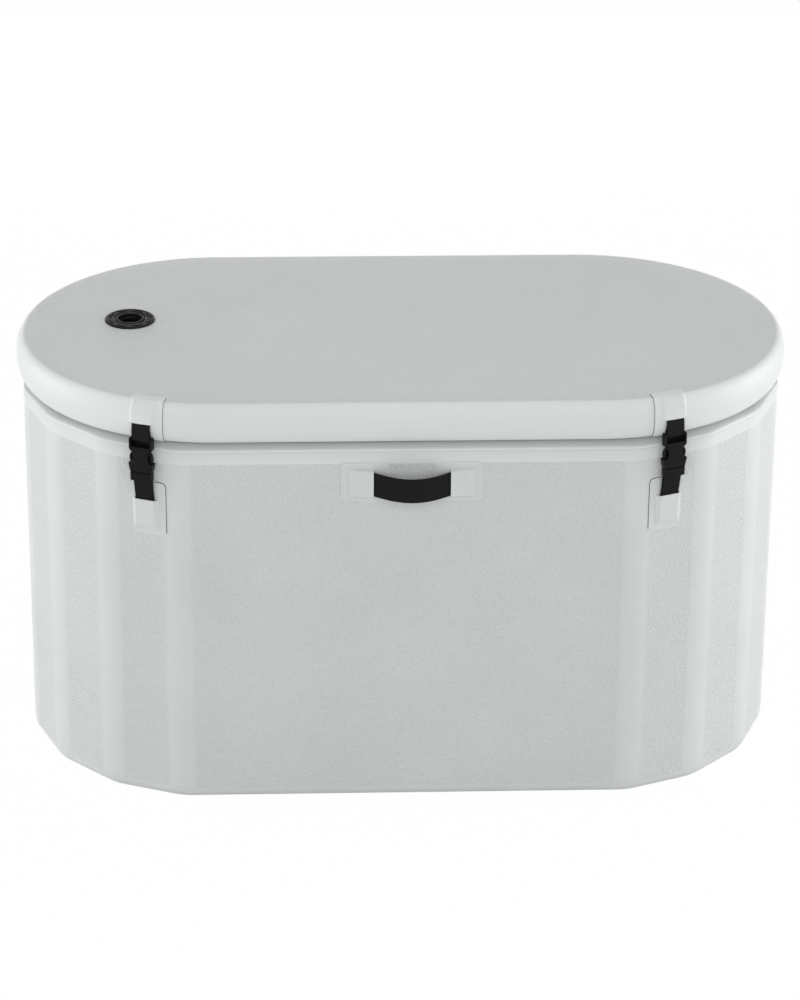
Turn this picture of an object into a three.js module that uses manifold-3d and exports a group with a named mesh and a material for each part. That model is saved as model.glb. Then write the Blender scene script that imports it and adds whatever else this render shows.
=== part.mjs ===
// Inflatable cold plunge tub with a strapped lid, in millimetres, +Z up.
// The origin is on the ground under the middle of the tub, and -Y is the front.
import * as THREE from 'three';
import { mergeVertices } from 'three/addons/utils/BufferGeometryUtils.js';
import Module from 'manifold-3d';

// Tub: a long body with flat panels round each end
const tubLength = 1500;
const tubWidth = 760;
const tubHeight = 780;
const wallThickness = 80;
const floorThickness = 55;
const panelsPerQuarter = 4;
const cornerRadius = 110;
const tightestCorner = 4;
const baseRadius = 28;
const rimRadius = 22;
const rimBand = 46;

// Coated fabric, and the clearance left between touching pieces
const skin = 1.5;
const gap = 0.3;

// Lid: a slab with a bulging edge
const lidThickness = 82;
const lidOverhang = 15;
const lidEdgeBulge = 18;

// Strap webbing and its welded patches
const webbingWidth = 38;
const webbingThickness = 2;
const webbingLap = 45;
const patchSheet = 1.5;
const lidPatchWidth = 75;
const lidPatchLap = 12;
const lidCoverWidth = 50;
const lidCoverDrop = 2;
const lidWebbingBends = 1;
const tubPatchWidth = 70;
const tubPatchHeight = 107;
const tubPatchMargin = 5;
const tubPatchCorner = 10;
const tubPocketWidth = 52;
const tubPocketHeight = 65;
const freeStrap = 45;
const strapFromCorner = 63;

// Side-release buckle: heights are from the foot of the buckle
const buckleHeight = 90;
const buckleRise = 10;
const buckleStandoff = 10.2;
const buckleThickness = 15;
const buckleWall = 2.2;
const plugHeight = 18.3;
const plugFootWidth = 42.4;
const plugHeadWidth = 43.4;
const plugCheek = 1.8;
const plugRoof = 4;
const plugBarRadius = 2.5;
const plugBarHeight = 6;
const plugBarSetback = 1;
const shoulderWidth = 50;
const shoulderHeight = 35;
const windowFoot = 37.5;
const windowHead = 57;
const windowRound = 4;
const waistWidth = 30;
const earWidth = 47;
const earHeight = 66;
const earChamfer = 3.5;
const socketRoof = 63;
const slotFoot = 70;
const socketBarRadius = 3;
const tongueWidth = 8;
const tongueThickness = 6;
const tongueHead = 56;
const armPivotOut = 12.5;
const armThickness = 8;
const armRootRadius = 1.9;
const armNeckOut = 15.2;
const barbOut = 22.7;
const barbInset = 0.9;
const barbClearance = 0.4;
const gripOut = 24.4;
const gripHeight = 47;
const armTipOut = 18;
const armTipHeight = 60;
const armTipWidth = 2.6;
const armGripWidth = 4.6;

// Carry handles: a bowed strip of webbing between two pocketed patches
const handleDrop = 87;
const handleSpan = 148;
const handleBow = 34;
const handleWebbingWidth = 50;
const handleWebbingThickness = 2.4;
const handlePocketLength = 48;
const handlePocketMargin = 4;
const handlePatchInner = 31;
const handlePatchOuter = 15;
const handlePatchHeight = 76;
const handlePatchCorner = 8;
const handleEndClearance = 6;

// Inflation valves: one on the lid, one on the wall
const lidValveFromEnd = 225;
const lidValveBack = 40;
const wallValveAlong = 300;
const wallValveHeight = 560;
const valveFlangeRadius = 50;
const valveFlangeHeight = 4.5;
const valveFlangeEdge = 2;
const valveFlangeChamfer = 3;
const valveBarrelRadius = 36;
const valveClampRadius = 46;
const valveClampHeight = 4;
const valveWellRadius = 24;
const valveRimWidth = 2.2;
const valveLipWidth = 4;
const valveLipHeight = 3;
const valveDishDepth = 2.4;
const valveDepth = 36;
const valveFloor = 3;
const valveSeatRadius = 7;
const valveFootRadius = 30;
const buttonRadius = 16;
const buttonHeight = 3;
const buttonBelowTop = 10;
const stemRadius = 4;
const poppetRadius = 13;
const poppetHeight = 3;
const plungerTravel = 6;
const springRadius = 10;
const springWire = 1.6;
const springTurns = 5;

// Drain: a threaded fitting through the foot of the wall
const drainAlong = -300;
const drainHeight = 112;
const drainBarrelRadius = 23;
const drainBore = 18;
const drainFlangeRadius = 39;
const drainFlangeHeight = 4;
const drainGasketHeight = 2;
const drainGasketMargin = 2;
const drainSpout = 20;
const drainNutRadius = 36;
const drainNutHeight = 8;
const drainNutSides = 6;
const drainTail = 12;
const drainCapWall = 4;
const drainCapDepth = 16;
const drainCapTop = 3;
const drainCapSides = 12;

// Fineness of the curved surfaces
const cornerSteps = 2;
const edgeSteps = 2;
const lidQuarterSteps = 3;
const lidEndSteps = 16;
const roundSides = 20;
const smallSides = 10;
const curveSteps = 6;
const bowSteps = 16;
const springSteps = 8;
const springSides = 5;

// Sizes that follow from those above
const panelCount = 4 * panelsPerQuarter;
const panelTurn = 2 * Math.PI / panelCount;
const endOffset = (tubLength - tubWidth) / 2;
const panelLength = tubWidth * Math.tan(panelTurn / 2);
const lidFoot = tubHeight + gap;
const lidTop = lidFoot + lidThickness;
const lidMiddle = lidFoot + lidThickness / 2;
const handleHeight = tubHeight - handleDrop;
const lining = skin + gap;
const pocketDepth = webbingThickness + 2 * gap;
const quarter = Math.PI / 2;

const whiteCloth = { color: 0xd8dcdb, roughness: 0.6, metalness: 0 };
const innerCloth = { color: 0xc9cdcc, roughness: 0.6, metalness: 0 };
const coreCloth = { color: 0xb9bcb8, roughness: 0.9, metalness: 0 };
const blackCloth = { color: 0x1d1e20, roughness: 0.85, metalness: 0 };
const blackPlastic = { color: 0x19191b, roughness: 0.45, metalness: 0 };
const blackRubber = { color: 0x141414, roughness: 0.8, metalness: 0 };
const springSteel = { color: 0x9a9da1, roughness: 0.35, metalness: 1 };

// Joining and cutting of closed solids
const wasm = await Module();
wasm.setup();

function toSolid(geometry) {
  const bare = geometry.clone();
  bare.deleteAttribute('normal');
  bare.deleteAttribute('uv');
  const welded = mergeVertices(bare);
  const vertProperties = new Float32Array(welded.attributes.position.array);
  const triVerts = new Uint32Array(welded.index.array);
  return new wasm.Manifold(new wasm.Mesh({ numProp: 3, vertProperties, triVerts }));
}

function toGeometry(solid) {
  const mesh = solid.getMesh();
  const geometry = new THREE.BufferGeometry();
  geometry.setAttribute('position', new THREE.BufferAttribute(mesh.vertProperties, mesh.numProp));
  geometry.setIndex(new THREE.BufferAttribute(mesh.triVerts, 1));
  return geometry;
}

function join(...geometries) {
  return toGeometry(geometries.map(toSolid).reduce((whole, piece) => whole.add(piece)));
}

function cut(geometry, ...tools) {
  return toGeometry(tools.map(toSolid).reduce((whole, tool) => whole.subtract(tool), toSolid(geometry)));
}

// Outlines
function point(x, y) {
  return new THREE.Vector2(x, y);
}

function arc(middle, radiusX, radiusY, from, to, steps) {
  const points = [];
  for (let step = 0; step <= steps; step++) {
    const angle = from + (to - from) * step / steps;
    points.push(point(middle.x + radiusX * Math.cos(angle), middle.y + radiusY * Math.sin(angle)));
  }
  return points;
}

function roundedRectangle(left, bottom, right, top, radius) {
  return [
    ...arc(point(right - radius, bottom + radius), radius, radius, -quarter, 0, edgeSteps),
    ...arc(point(right - radius, top - radius), radius, radius, 0, quarter, edgeSteps),
    ...arc(point(left + radius, top - radius), radius, radius, quarter, 2 * quarter, edgeSteps),
    ...arc(point(left + radius, bottom + radius), radius, radius, 2 * quarter, 3 * quarter, edgeSteps),
  ];
}

// A strip of even thickness along a line of points, as a closed outline
function strip(line, thickness) {
  const left = [];
  const right = [];
  line.forEach((place, index) => {
    const before = line[Math.max(index - 1, 0)];
    const after = line[Math.min(index + 1, line.length - 1)];
    const along = after.clone().sub(before).normalize();
    const aside = point(-along.y, along.x).multiplyScalar(thickness / 2);
    left.push(place.clone().add(aside));
    right.push(place.clone().sub(aside));
  });
  return [...right, ...left.reverse()];
}

// Plan of the tub: the rounded polygon that runs outside its nominal face by the outset
function tubPlan(outset) {
  const radius = Math.max(cornerRadius + outset, tightestCorner);
  const reach = (tubWidth / 2 + outset - radius) / Math.cos(panelTurn / 2);
  const points = [];
  for (let panel = 0; panel < panelCount; panel++) {
    const corner = panel * panelTurn + panelTurn / 2;
    const middle = point(reach * Math.cos(corner), reach * Math.sin(corner));
    middle.x += Math.sign(middle.x) * endOffset;
    points.push(...arc(middle, radius, radius, panel * panelTurn, (panel + 1) * panelTurn, cornerSteps));
  }
  return points;
}

// Plan of the lid: two half circles joined by straight sides
function lidPlan(outset) {
  const radius = tubWidth / 2 + lidOverhang + outset;
  return [
    ...arc(point(endOffset, 0), radius, radius, -quarter, quarter, lidEndSteps),
    ...arc(point(-endOffset, 0), radius, radius, quarter, 3 * quarter, lidEndSteps),
  ];
}

// Carries a profile of (outset, height) points round a plan. A ring closes on itself;
// otherwise the first and last loops are filled in.
function loft(plan, profile, isRing) {
  const loops = profile.map(({ x, y }) => plan(x).map((place) => [place.x, place.y, y]));
  const around = loops[0].length;
  const last = (loops.length - 1) * around;
  const faces = [];
  for (let row = 0; row < loops.length - (isRing ? 0 : 1); row++) {
    const lower = row * around;
    const upper = (row + 1) % loops.length * around;
    for (let place = 0; place < around; place++) {
      const next = (place + 1) % around;
      faces.push(lower + place, lower + next, upper + next);
      faces.push(lower + place, upper + next, upper + place);
    }
  }
  for (let place = 1; place + 1 < around && !isRing; place++) {
    faces.push(0, place + 1, place);
    faces.push(last, last + place, last + place + 1);
  }
  const geometry = new THREE.BufferGeometry();
  geometry.setAttribute('position', new THREE.Float32BufferAttribute(loops.flat(2), 3));
  geometry.setIndex(faces);
  return geometry;
}

function plate(plan, outset, foot, top) {
  return loft(plan, [point(outset, foot), point(outset, top)], false);
}

function band(plan, inner, outer, foot, top) {
  const profile = [point(inner, foot), point(outer, foot), point(outer, top), point(inner, top)];
  return loft(plan, profile, true);
}

// Shapes drawn in a strap's own frame, where the panel is the plane y = 0 and -Y is outward
const fromSide = new THREE.Matrix4().makeBasis(
  new THREE.Vector3(0, -1, 0),
  new THREE.Vector3(0, 0, 1),
  new THREE.Vector3(-1, 0, 0),
);

// Extrudes a side view of (outward, height) points by a width, evenly to both sides
function acrossStrap(points, width, holes = []) {
  const shape = new THREE.Shape(points);
  shape.holes = holes.map((hole) => new THREE.Path(hole));
  const geometry = new THREE.ExtrudeGeometry(shape, { depth: width, bevelEnabled: false });
  return geometry.translate(0, 0, -width / 2).applyMatrix4(fromSide);
}

// Extrudes a front view of (across, height) points from one outward distance to another
function throughStrap(points, from, to) {
  const shape = new THREE.Shape(points);
  const geometry = new THREE.ExtrudeGeometry(shape, { depth: to - from, bevelEnabled: false });
  return geometry.translate(0, 0, from).rotateX(quarter);
}

// Extrudes a plan view of (across, outward) points up from one height to another
function upStrap(points, foot, top) {
  const shape = new THREE.Shape(points);
  const geometry = new THREE.ExtrudeGeometry(shape, { depth: top - foot, bevelEnabled: false });
  return geometry.translate(0, 0, foot);
}

function block(left, right, from, to, foot, top) {
  const geometry = new THREE.BoxGeometry(right - left, to - from, top - foot);
  return geometry.translate((left + right) / 2, -(from + to) / 2, (foot + top) / 2);
}

// Turns a profile of (radius, height) points about the Z axis
function turned(profile, sides) {
  return new THREE.LatheGeometry([...profile, profile[0]], sides).rotateX(quarter);
}

function rod(radius, foot, top, sides) {
  const geometry = new THREE.CylinderGeometry(radius, radius, top - foot, sides);
  return geometry.rotateX(quarter).translate(0, 0, (foot + top) / 2);
}

const tub = new THREE.Group();

function addPiece(parent, name, geometry, finish) {
  const piece = new THREE.Mesh(geometry, new THREE.MeshStandardMaterial(finish));
  piece.name = name;
  parent.add(piece);
}

// A group on the middle of a wall panel: its -Y points out of the panel that faces this way
function panelGroup(facing, height) {
  const group = new THREE.Group();
  const side = Math.sign(Math.round(Math.sin(facing) * tubWidth));
  group.position.x = side * endOffset + tubWidth / 2 * Math.sin(facing);
  group.position.y = -tubWidth / 2 * Math.cos(facing);
  group.position.z = height;
  group.rotation.z = facing;
  tub.add(group);
  return group;
}

// A group along a panel from its middle, whose +Z points out of the panel
function outwardGroup(facing, along, height) {
  const group = new THREE.Group();
  group.position.x = along;
  group.rotation.x = quarter;
  panelGroup(facing, height).add(group);
  return group;
}

function placed(geometry, group) {
  group.updateWorldMatrix(true, false);
  return geometry.applyMatrix4(group.matrixWorld);
}

// Places of the fittings
const lidValvePlace = new THREE.Group();
lidValvePlace.position.x = lidValveFromEnd - tubLength / 2 - lidOverhang;
lidValvePlace.position.y = lidValveBack;
lidValvePlace.position.z = lidTop;
tub.add(lidValvePlace);
const wallValvePlace = outwardGroup(Math.PI, wallValveAlong, wallValveHeight);
const drainPlace = outwardGroup(Math.PI, drainAlong, drainHeight);

// Holes for the fittings, cut from outside the cloth inward
const sheetHole = () => rod(valveBarrelRadius + gap, -lining, lining, roundSides);
const valvePocketDepth = valveDepth + gap + poppetHeight + plungerTravel + gap;
const valvePocket = () => rod(valveClampRadius + gap, -valvePocketDepth, lining, roundSides);
const drainHole = () => rod(drainBarrelRadius + gap, -wallThickness - lining, lining, roundSides);

// Base sheet: a shallow tray under the wall and floor
const baseMiddle = point(-baseRadius, baseRadius);
const baseInner = baseRadius - skin;
addPiece(tub, 'base_sheet', loft(tubPlan, [
  ...arc(baseMiddle, baseRadius, baseRadius, -quarter, 0, edgeSteps),
  ...arc(baseMiddle, baseInner, baseInner, 0, -quarter, edgeSteps),
], false), whiteCloth);

// Wall core: the air chamber with its cross threads, seated in the tray and rounded at the rim
const coreFace = wallThickness - lining;
const coreBase = baseRadius - lining;
const coreRim = rimRadius - lining;
const outerRim = point(-rimRadius, tubHeight - rimRadius);
const innerRim = point(rimRadius - wallThickness, tubHeight - rimRadius);
const wallCore = loft(tubPlan, [
  point(-coreFace, lining),
  ...arc(baseMiddle, coreBase, coreBase, -quarter, 0, edgeSteps),
  ...arc(outerRim, coreRim, coreRim, 0, quarter, edgeSteps),
  ...arc(innerRim, coreRim, coreRim, quarter, 2 * quarter, edgeSteps),
], true);
const wallHoles = [placed(valvePocket(), wallValvePlace), placed(drainHole(), drainPlace)];
addPiece(tub, 'wall_core', cut(wallCore, ...wallHoles), coreCloth);

// Outer skin of the wall, between the tray and the rim tape
const skinTop = tubHeight - rimBand - gap;
const outerSkin = band(tubPlan, -skin, 0, baseRadius + gap, skinTop);
const skinHoles = [placed(sheetHole(), wallValvePlace), placed(drainHole(), drainPlace)];
addPiece(tub, 'wall_outer_skin', cut(outerSkin, ...skinHoles), whiteCloth);

// Inner liner: one bowl for the inside of the wall and the top of the floor
const linerFoot = floorThickness - skin;
const innerLiner = loft(tubPlan, [
  point(skin - wallThickness, linerFoot),
  point(skin - wallThickness, skinTop),
  point(-wallThickness, skinTop),
  point(-wallThickness, floorThickness),
], false);
addPiece(tub, 'inner_liner', cut(innerLiner, placed(drainHole(), drainPlace)), innerCloth);

// Floor core, inside the foot of the wall
addPiece(tub, 'floor_core', plate(tubPlan, skin - wallThickness, lining, linerFoot - gap), coreCloth);

// Rim tape: a smooth band folded over the top of the wall
const rimInner = rimRadius - skin;
addPiece(tub, 'rim_tape', loft(tubPlan, [
  point(0, tubHeight - rimBand),
  ...arc(outerRim, rimRadius, rimRadius, 0, quarter, edgeSteps),
  ...arc(innerRim, rimRadius, rimRadius, quarter, 2 * quarter, edgeSteps),
  point(-wallThickness, tubHeight - rimBand),
  point(skin - wallThickness, tubHeight - rimBand),
  ...arc(innerRim, rimInner, rimInner, 2 * quarter, quarter, edgeSteps),
  ...arc(outerRim, rimInner, rimInner, quarter, 0, edgeSteps),
  point(-skin, tubHeight - rimBand),
], true), whiteCloth);

// Lid: core, top and bottom sheets, and the smooth band round the bulging edge
const lidEdge = point(-lidEdgeBulge, lidMiddle);
function lidEdgeArc(inset, from, to) {
  return arc(lidEdge, lidEdgeBulge - inset, lidThickness / 2 - inset, from, to, 2 * lidQuarterSteps);
}

const lidCore = loft(lidPlan, lidEdgeArc(lining, -quarter, quarter), false);
addPiece(tub, 'lid_core', cut(lidCore, placed(valvePocket(), lidValvePlace)), coreCloth);
const topSheet = plate(lidPlan, -lidEdgeBulge - gap, lidTop - skin, lidTop);
addPiece(tub, 'lid_top_sheet', cut(topSheet, placed(sheetHole(), lidValvePlace)), whiteCloth);
addPiece(tub, 'lid_bottom_sheet', plate(lidPlan, -lidEdgeBulge - gap, lidFoot, lidFoot + skin), whiteCloth);
addPiece(tub, 'lid_side_band', loft(lidPlan, [
  ...lidEdgeArc(0, -quarter, quarter),
  ...lidEdgeArc(skin, quarter, -quarter),
], true), whiteCloth);

// Places along a strap: outward distances from the panel, and heights
const socketBarOut = buckleStandoff + buckleThickness / 2;
const buckleFoot = lidFoot + buckleRise - buckleHeight;
const socketBarTop = buckleFoot + buckleHeight - socketBarRadius;
const plugBarOut = socketBarOut - plugBarSetback;
const plugBarTop = buckleFoot + plugBarHeight;
const buckleBack = buckleStandoff;
const buckleFront = buckleStandoff + buckleThickness;
const pocketMouth = buckleFoot - freeStrap;
const tubWebbingFace = patchSheet + 2 * gap;
const mouthFoot = plugHeight + gap;

// A flat loop of webbing round a bar
function webbingLoop(barOut, barTop, barRadius) {
  const middle = point(barOut, barTop);
  const inner = barRadius + gap;
  const outer = inner + webbingThickness;
  const hole = arc(middle, inner, inner, 0, 4 * quarter, smallSides).slice(1);
  return acrossStrap(arc(middle, outer, outer, 0, 4 * quarter, smallSides).slice(1), webbingWidth, [hole]);
}

function barAcross(radius, length, outward, height) {
  const geometry = new THREE.CylinderGeometry(radius, radius, length, smallSides);
  return geometry.rotateZ(quarter).translate(0, -outward, height);
}

// Line round the lid's edge in a strap's side view, standing off it, with its bends on those of the edge
const lidBend = quarter / lidQuarterSteps;
const lidEdgeMiddle = point(lidOverhang - lidEdgeBulge, lidMiddle);
function wrap(riseOut, riseUp, from, to) {
  const bends = Math.round(Math.abs(to - from) / lidBend);
  return arc(lidEdgeMiddle, lidEdgeBulge + riseOut, lidThickness / 2 + riseUp, from, to, bends);
}

// Line of the upper webbing: bent over the lid's edge, then hanging out to the bar of the socket
function upperWebbingLine() {
  const rise = gap + patchSheet + gap + webbingThickness / 2;
  const barFace = socketBarOut + socketBarRadius + gap + webbingThickness / 2;
  return [...wrap(rise, rise, lidWebbingBends * lidBend, 0), point(barFace, socketBarTop)];
}

// Lid patch: a strip wrapped round the lid's edge, with a cover welded over the end of the webbing.
// It stops one bend short of the lid's underside.
function lidPatch() {
  const patchFoot = lidBend - quarter;
  const outerRise = gap + patchSheet;
  const lapEnd = lidEdgeMiddle.x - lidPatchLap;
  const base = acrossStrap([
    ...wrap(outerRise, outerRise, patchFoot, quarter),
    point(lapEnd, lidTop + outerRise),
    point(lapEnd, lidTop + gap),
    ...wrap(gap, gap, quarter, patchFoot),
  ], lidPatchWidth);
  const coverRoot = gap + patchSheet / 2;
  const coverRise = outerRise + pocketDepth + patchSheet;
  const mouth = lidMiddle - lidCoverDrop;
  const cover = acrossStrap([
    point(lidOverhang + coverRise, mouth),
    ...wrap(coverRise, outerRise + patchSheet, 0, quarter),
    ...wrap(coverRoot, coverRoot, quarter, 0),
    point(lidOverhang + coverRoot, mouth),
  ], lidCoverWidth);
  const pocket = strip(upperWebbingLine(), webbingThickness + 2 * gap);
  return cut(join(base, cover), acrossStrap(pocket, webbingWidth + 2 * gap));
}

// Upper webbing: hangs from the lid patch and is looped round the bar of the socket
function upperWebbing() {
  const run = acrossStrap(strip(upperWebbingLine(), webbingThickness), webbingWidth);
  return join(run, webbingLoop(socketBarOut, socketBarTop, socketBarRadius));
}

function mirrored(half) {
  return [...half, ...half.map((place) => point(-place.x, place.y)).reverse()];
}

// Socket: a flat shell, open at the foot for the plug and at the sides for the latch arms
function buckleSocket() {
  const half = [
    point(plugHeadWidth / 2, buckleFoot + mouthFoot),
    point(shoulderWidth / 2, buckleFoot + shoulderHeight),
    point(shoulderWidth / 2, buckleFoot + windowFoot),
    point(waistWidth / 2 + windowRound, buckleFoot + windowFoot),
    point(waistWidth / 2, buckleFoot + windowFoot + windowRound),
    point(waistWidth / 2, buckleFoot + windowHead),
    point(earWidth / 2, buckleFoot + earHeight),
    point(earWidth / 2, buckleFoot + buckleHeight - earChamfer),
    point(earWidth / 2 - earChamfer, buckleFoot + buckleHeight),
  ];
  const body = throughStrap(mirrored(half), buckleBack, buckleFront);
  const hollow = plugHeadWidth / 2 - buckleWall - gap;
  const cavity = block(
    -hollow, hollow, buckleBack + buckleWall, buckleFront - buckleWall,
    buckleFoot, buckleFoot + socketRoof);
  const slotSide = webbingWidth / 2 + gap;
  const slot = block(
    -slotSide, slotSide, buckleBack - gap, buckleFront + gap,
    buckleFoot + slotFoot, buckleFoot + buckleHeight + gap);
  const bar = barAcross(socketBarRadius, webbingWidth + 2 * plugCheek, socketBarOut, socketBarTop);
  return join(cut(body, cavity, slot), bar);
}

// Plug: a base that holds the lower webbing, and a tongue that guides it into the socket
function bucklePlug() {
  const foot = buckleFoot;
  const head = buckleFoot + plugHeight;
  const base = throughStrap(mirrored([
    point(plugFootWidth / 2, foot),
    point(plugHeadWidth / 2, head),
  ]), buckleBack, buckleFront);
  const inside = webbingWidth / 2 + gap;
  const hollow = block(
    -inside, inside, buckleBack - gap, buckleFront - buckleWall, foot - gap, head - plugRoof);
  const bar = barAcross(plugBarRadius, webbingWidth + 2 * plugCheek, plugBarOut, plugBarTop);
  const tongue = block(
    -tongueWidth / 2, tongueWidth / 2,
    socketBarOut - tongueThickness / 2, socketBarOut + tongueThickness / 2,
    head - plugRoof / 2, buckleFoot + tongueHead);
  return join(cut(base, hollow), bar, tongue);
}

// Latch arm: springs out through the socket's window, with a round root to turn on
function latchArm(side) {
  const pivotHeight = buckleFoot + plugHeight + gap + armRootRadius;
  const barbFoot = buckleFoot + windowFoot + barbClearance;
  const root = arc(
    point(armPivotOut, pivotHeight), armRootRadius, armRootRadius, -2 * quarter, 0, curveSteps);
  const outline = [
    ...root,
    point(armNeckOut + armRootRadius, barbFoot),
    point(barbOut, barbFoot + barbInset),
    point(gripOut, buckleFoot + gripHeight),
    point(armTipOut, buckleFoot + armTipHeight),
    point(armTipOut - armTipWidth, buckleFoot + armTipHeight),
    point(gripOut - armGripWidth, buckleFoot + gripHeight),
    point(armNeckOut - armRootRadius, barbFoot),
  ];
  const sided = side > 0 ? outline : outline.map((place) => point(-place.x, place.y)).reverse();
  return throughStrap(sided, socketBarOut - armThickness / 2, socketBarOut + armThickness / 2);
}

// Lower webbing: looped round the bar of the plug, then eased back to the wall and into its pocket
function lowerWebbing() {
  const high = plugBarOut - plugBarRadius - gap - webbingThickness / 2;
  const low = tubWebbingFace + webbingThickness / 2;
  const line = [point(high, plugBarTop)];
  for (let step = 0; step <= curveSteps; step++) {
    const share = step / curveSteps;
    const ease = (1 - Math.cos(Math.PI * share)) / 2;
    line.push(point(high + (low - high) * ease, buckleFoot - (freeStrap - gap) * share));
  }
  line.push(point(low, pocketMouth - webbingLap));
  const run = acrossStrap(strip(line, webbingThickness), webbingWidth);
  return join(run, webbingLoop(plugBarOut, plugBarTop, plugBarRadius));
}

// Tub patch: a sheet on the wall with a pocket welded on it for the end of the webbing
function tubPatch() {
  const foot = pocketMouth - tubPocketHeight - tubPatchMargin;
  const side = tubPatchWidth / 2;
  const outline = roundedRectangle(-side, foot, side, foot + tubPatchHeight, tubPatchCorner);
  const sheet = throughStrap(outline, gap, gap + patchSheet);
  const pocketFace = gap + patchSheet + pocketDepth + patchSheet;
  const cover = block(
    -tubPocketWidth / 2, tubPocketWidth / 2, gap + patchSheet / 2, pocketFace,
    foot + tubPatchMargin, pocketMouth);
  const inside = webbingWidth / 2 + gap;
  const hollow = block(
    -inside, inside, gap + patchSheet, gap + patchSheet + pocketDepth,
    pocketMouth - webbingLap - gap, pocketMouth + gap);
  return cut(join(sheet, cover), hollow);
}

// Four straps, on the panels next to the long sides and nearer to those sides
const strapFacings = {
  front_right: panelTurn,
  front_left: -panelTurn,
  rear_right: Math.PI - panelTurn,
  rear_left: panelTurn - Math.PI,
};
for (const [place, facing] of Object.entries(strapFacings)) {
  const strap = new THREE.Group();
  strap.position.x = Math.sign(Math.sin(2 * facing)) * (strapFromCorner - panelLength / 2);
  panelGroup(facing, 0).add(strap);
  addPiece(strap, `${place}_lid_patch`, lidPatch(), whiteCloth);
  addPiece(strap, `${place}_upper_webbing`, upperWebbing(), blackCloth);
  addPiece(strap, `${place}_buckle_socket`, buckleSocket(), blackPlastic);
  addPiece(strap, `${place}_buckle_plug`, bucklePlug(), blackPlastic);
  addPiece(strap, `${place}_latch_arm_a`, latchArm(1), blackPlastic);
  addPiece(strap, `${place}_latch_arm_b`, latchArm(-1), blackPlastic);
  addPiece(strap, `${place}_lower_webbing`, lowerWebbing(), blackCloth);
  addPiece(strap, `${place}_tub_patch`, tubPatch(), whiteCloth);
}

// Handle webbing: tangent to the wall at both pockets and bowed out between them
const handleFace = patchSheet + 2 * gap;
const handlePocketDepth = handleWebbingThickness + 2 * gap;
function handleWebbing() {
  const low = handleFace + handleWebbingThickness / 2;
  const end = handleSpan / 2 + handlePocketLength - handleEndClearance;
  const line = [point(-end, -low)];
  for (let step = 0; step <= bowSteps; step++) {
    const across = handleSpan * (step / bowSteps - 1 / 2);
    const bow = handleBow * (1 + Math.cos(2 * Math.PI * across / handleSpan)) / 2;
    line.push(point(across, -low - bow));
  }
  line.push(point(end, -low));
  const half = handleWebbingWidth / 2;
  return upStrap(strip(line, handleWebbingThickness), handleHeight - half, handleHeight + half);
}

// Handle patch: a sheet with a pocket whose mouth faces the middle of the handle
function handlePatch(side) {
  const mouth = handleSpan / 2;
  const far = mouth + handlePocketLength;
  const half = handlePatchHeight / 2;
  const pocketHalf = handleWebbingWidth / 2 + handlePocketMargin;
  const insideHalf = handleWebbingWidth / 2 + gap;
  const sides = (from, to) => side > 0 ? [from, to] : [-to, -from];
  const [sheetLeft, sheetRight] = sides(mouth - handlePatchInner, far + handlePatchOuter);
  const [sheetFoot, sheetTop] = [handleHeight - half, handleHeight + half];
  const outline = roundedRectangle(sheetLeft, sheetFoot, sheetRight, sheetTop, handlePatchCorner);
  const sheet = throughStrap(outline, gap, gap + patchSheet);
  const cover = block(
    ...sides(mouth, far), gap + patchSheet / 2, gap + patchSheet + handlePocketDepth + patchSheet,
    handleHeight - pocketHalf, handleHeight + pocketHalf);
  const hollow = block(
    ...sides(mouth - handlePatchInner, far - handleEndClearance + gap),
    gap + patchSheet, gap + patchSheet + handlePocketDepth,
    handleHeight - insideHalf, handleHeight + insideHalf);
  return cut(join(sheet, cover), hollow);
}

for (const [place, facing] of Object.entries({ front: 0, rear: Math.PI })) {
  const handle = panelGroup(facing, 0);
  addPiece(handle, `${place}_handle_patch_a`, handlePatch(1), whiteCloth);
  addPiece(handle, `${place}_handle_patch_b`, handlePatch(-1), whiteCloth);
  addPiece(handle, `${place}_handle_webbing`, handleWebbing(), blackCloth);
}

// Valve pieces: heights are from the outer face of the cloth, with +Z out of the chamber
function valveFlange() {
  const inner = valveBarrelRadius + gap;
  return turned([
    point(inner, gap),
    point(valveFlangeRadius, gap),
    point(valveFlangeRadius, gap + valveFlangeEdge),
    point(valveFlangeRadius - valveFlangeChamfer, valveFlangeHeight),
    point(inner, valveFlangeHeight),
  ], roundSides);
}

function valveBody() {
  const lip = valveWellRadius + valveLipWidth;
  const dishEdge = valveBarrelRadius - valveRimWidth;
  return turned([
    point(valveSeatRadius, -valveDepth),
    point(valveFootRadius, -valveDepth),
    point(valveFootRadius, -lining - valveClampHeight),
    point(valveClampRadius, -lining - valveClampHeight),
    point(valveClampRadius, -lining),
    point(valveBarrelRadius, -lining),
    point(valveBarrelRadius, valveFlangeHeight),
    point(dishEdge, valveFlangeHeight),
    point(lip, valveFlangeHeight - valveDishDepth),
    point(lip, valveLipHeight),
    point(valveWellRadius, valveLipHeight),
    point(valveWellRadius, valveFloor - valveDepth),
    point(valveSeatRadius, valveFloor - valveDepth),
  ], roundSides);
}

function valvePlunger() {
  return turned([
    point(0, -valveDepth - gap - poppetHeight),
    point(poppetRadius, -valveDepth - gap - poppetHeight),
    point(poppetRadius, -valveDepth - gap),
    point(stemRadius, -valveDepth - gap),
    point(stemRadius, -buttonBelowTop - buttonHeight),
    point(buttonRadius, -buttonBelowTop - buttonHeight),
    point(buttonRadius, -buttonBelowTop),
    point(0, -buttonBelowTop),
  ], roundSides);
}

// Valve spring: one helix from the valve's floor to the underside of the button
class Helix extends THREE.Curve {
  constructor(foot, top) {
    super();
    this.foot = foot;
    this.top = top;
  }

  getPoint(share, target = new THREE.Vector3()) {
    const angle = 2 * Math.PI * springTurns * share;
    const height = this.foot + (this.top - this.foot) * share;
    return target.set(springRadius * Math.cos(angle), springRadius * Math.sin(angle), height);
  }
}

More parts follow.
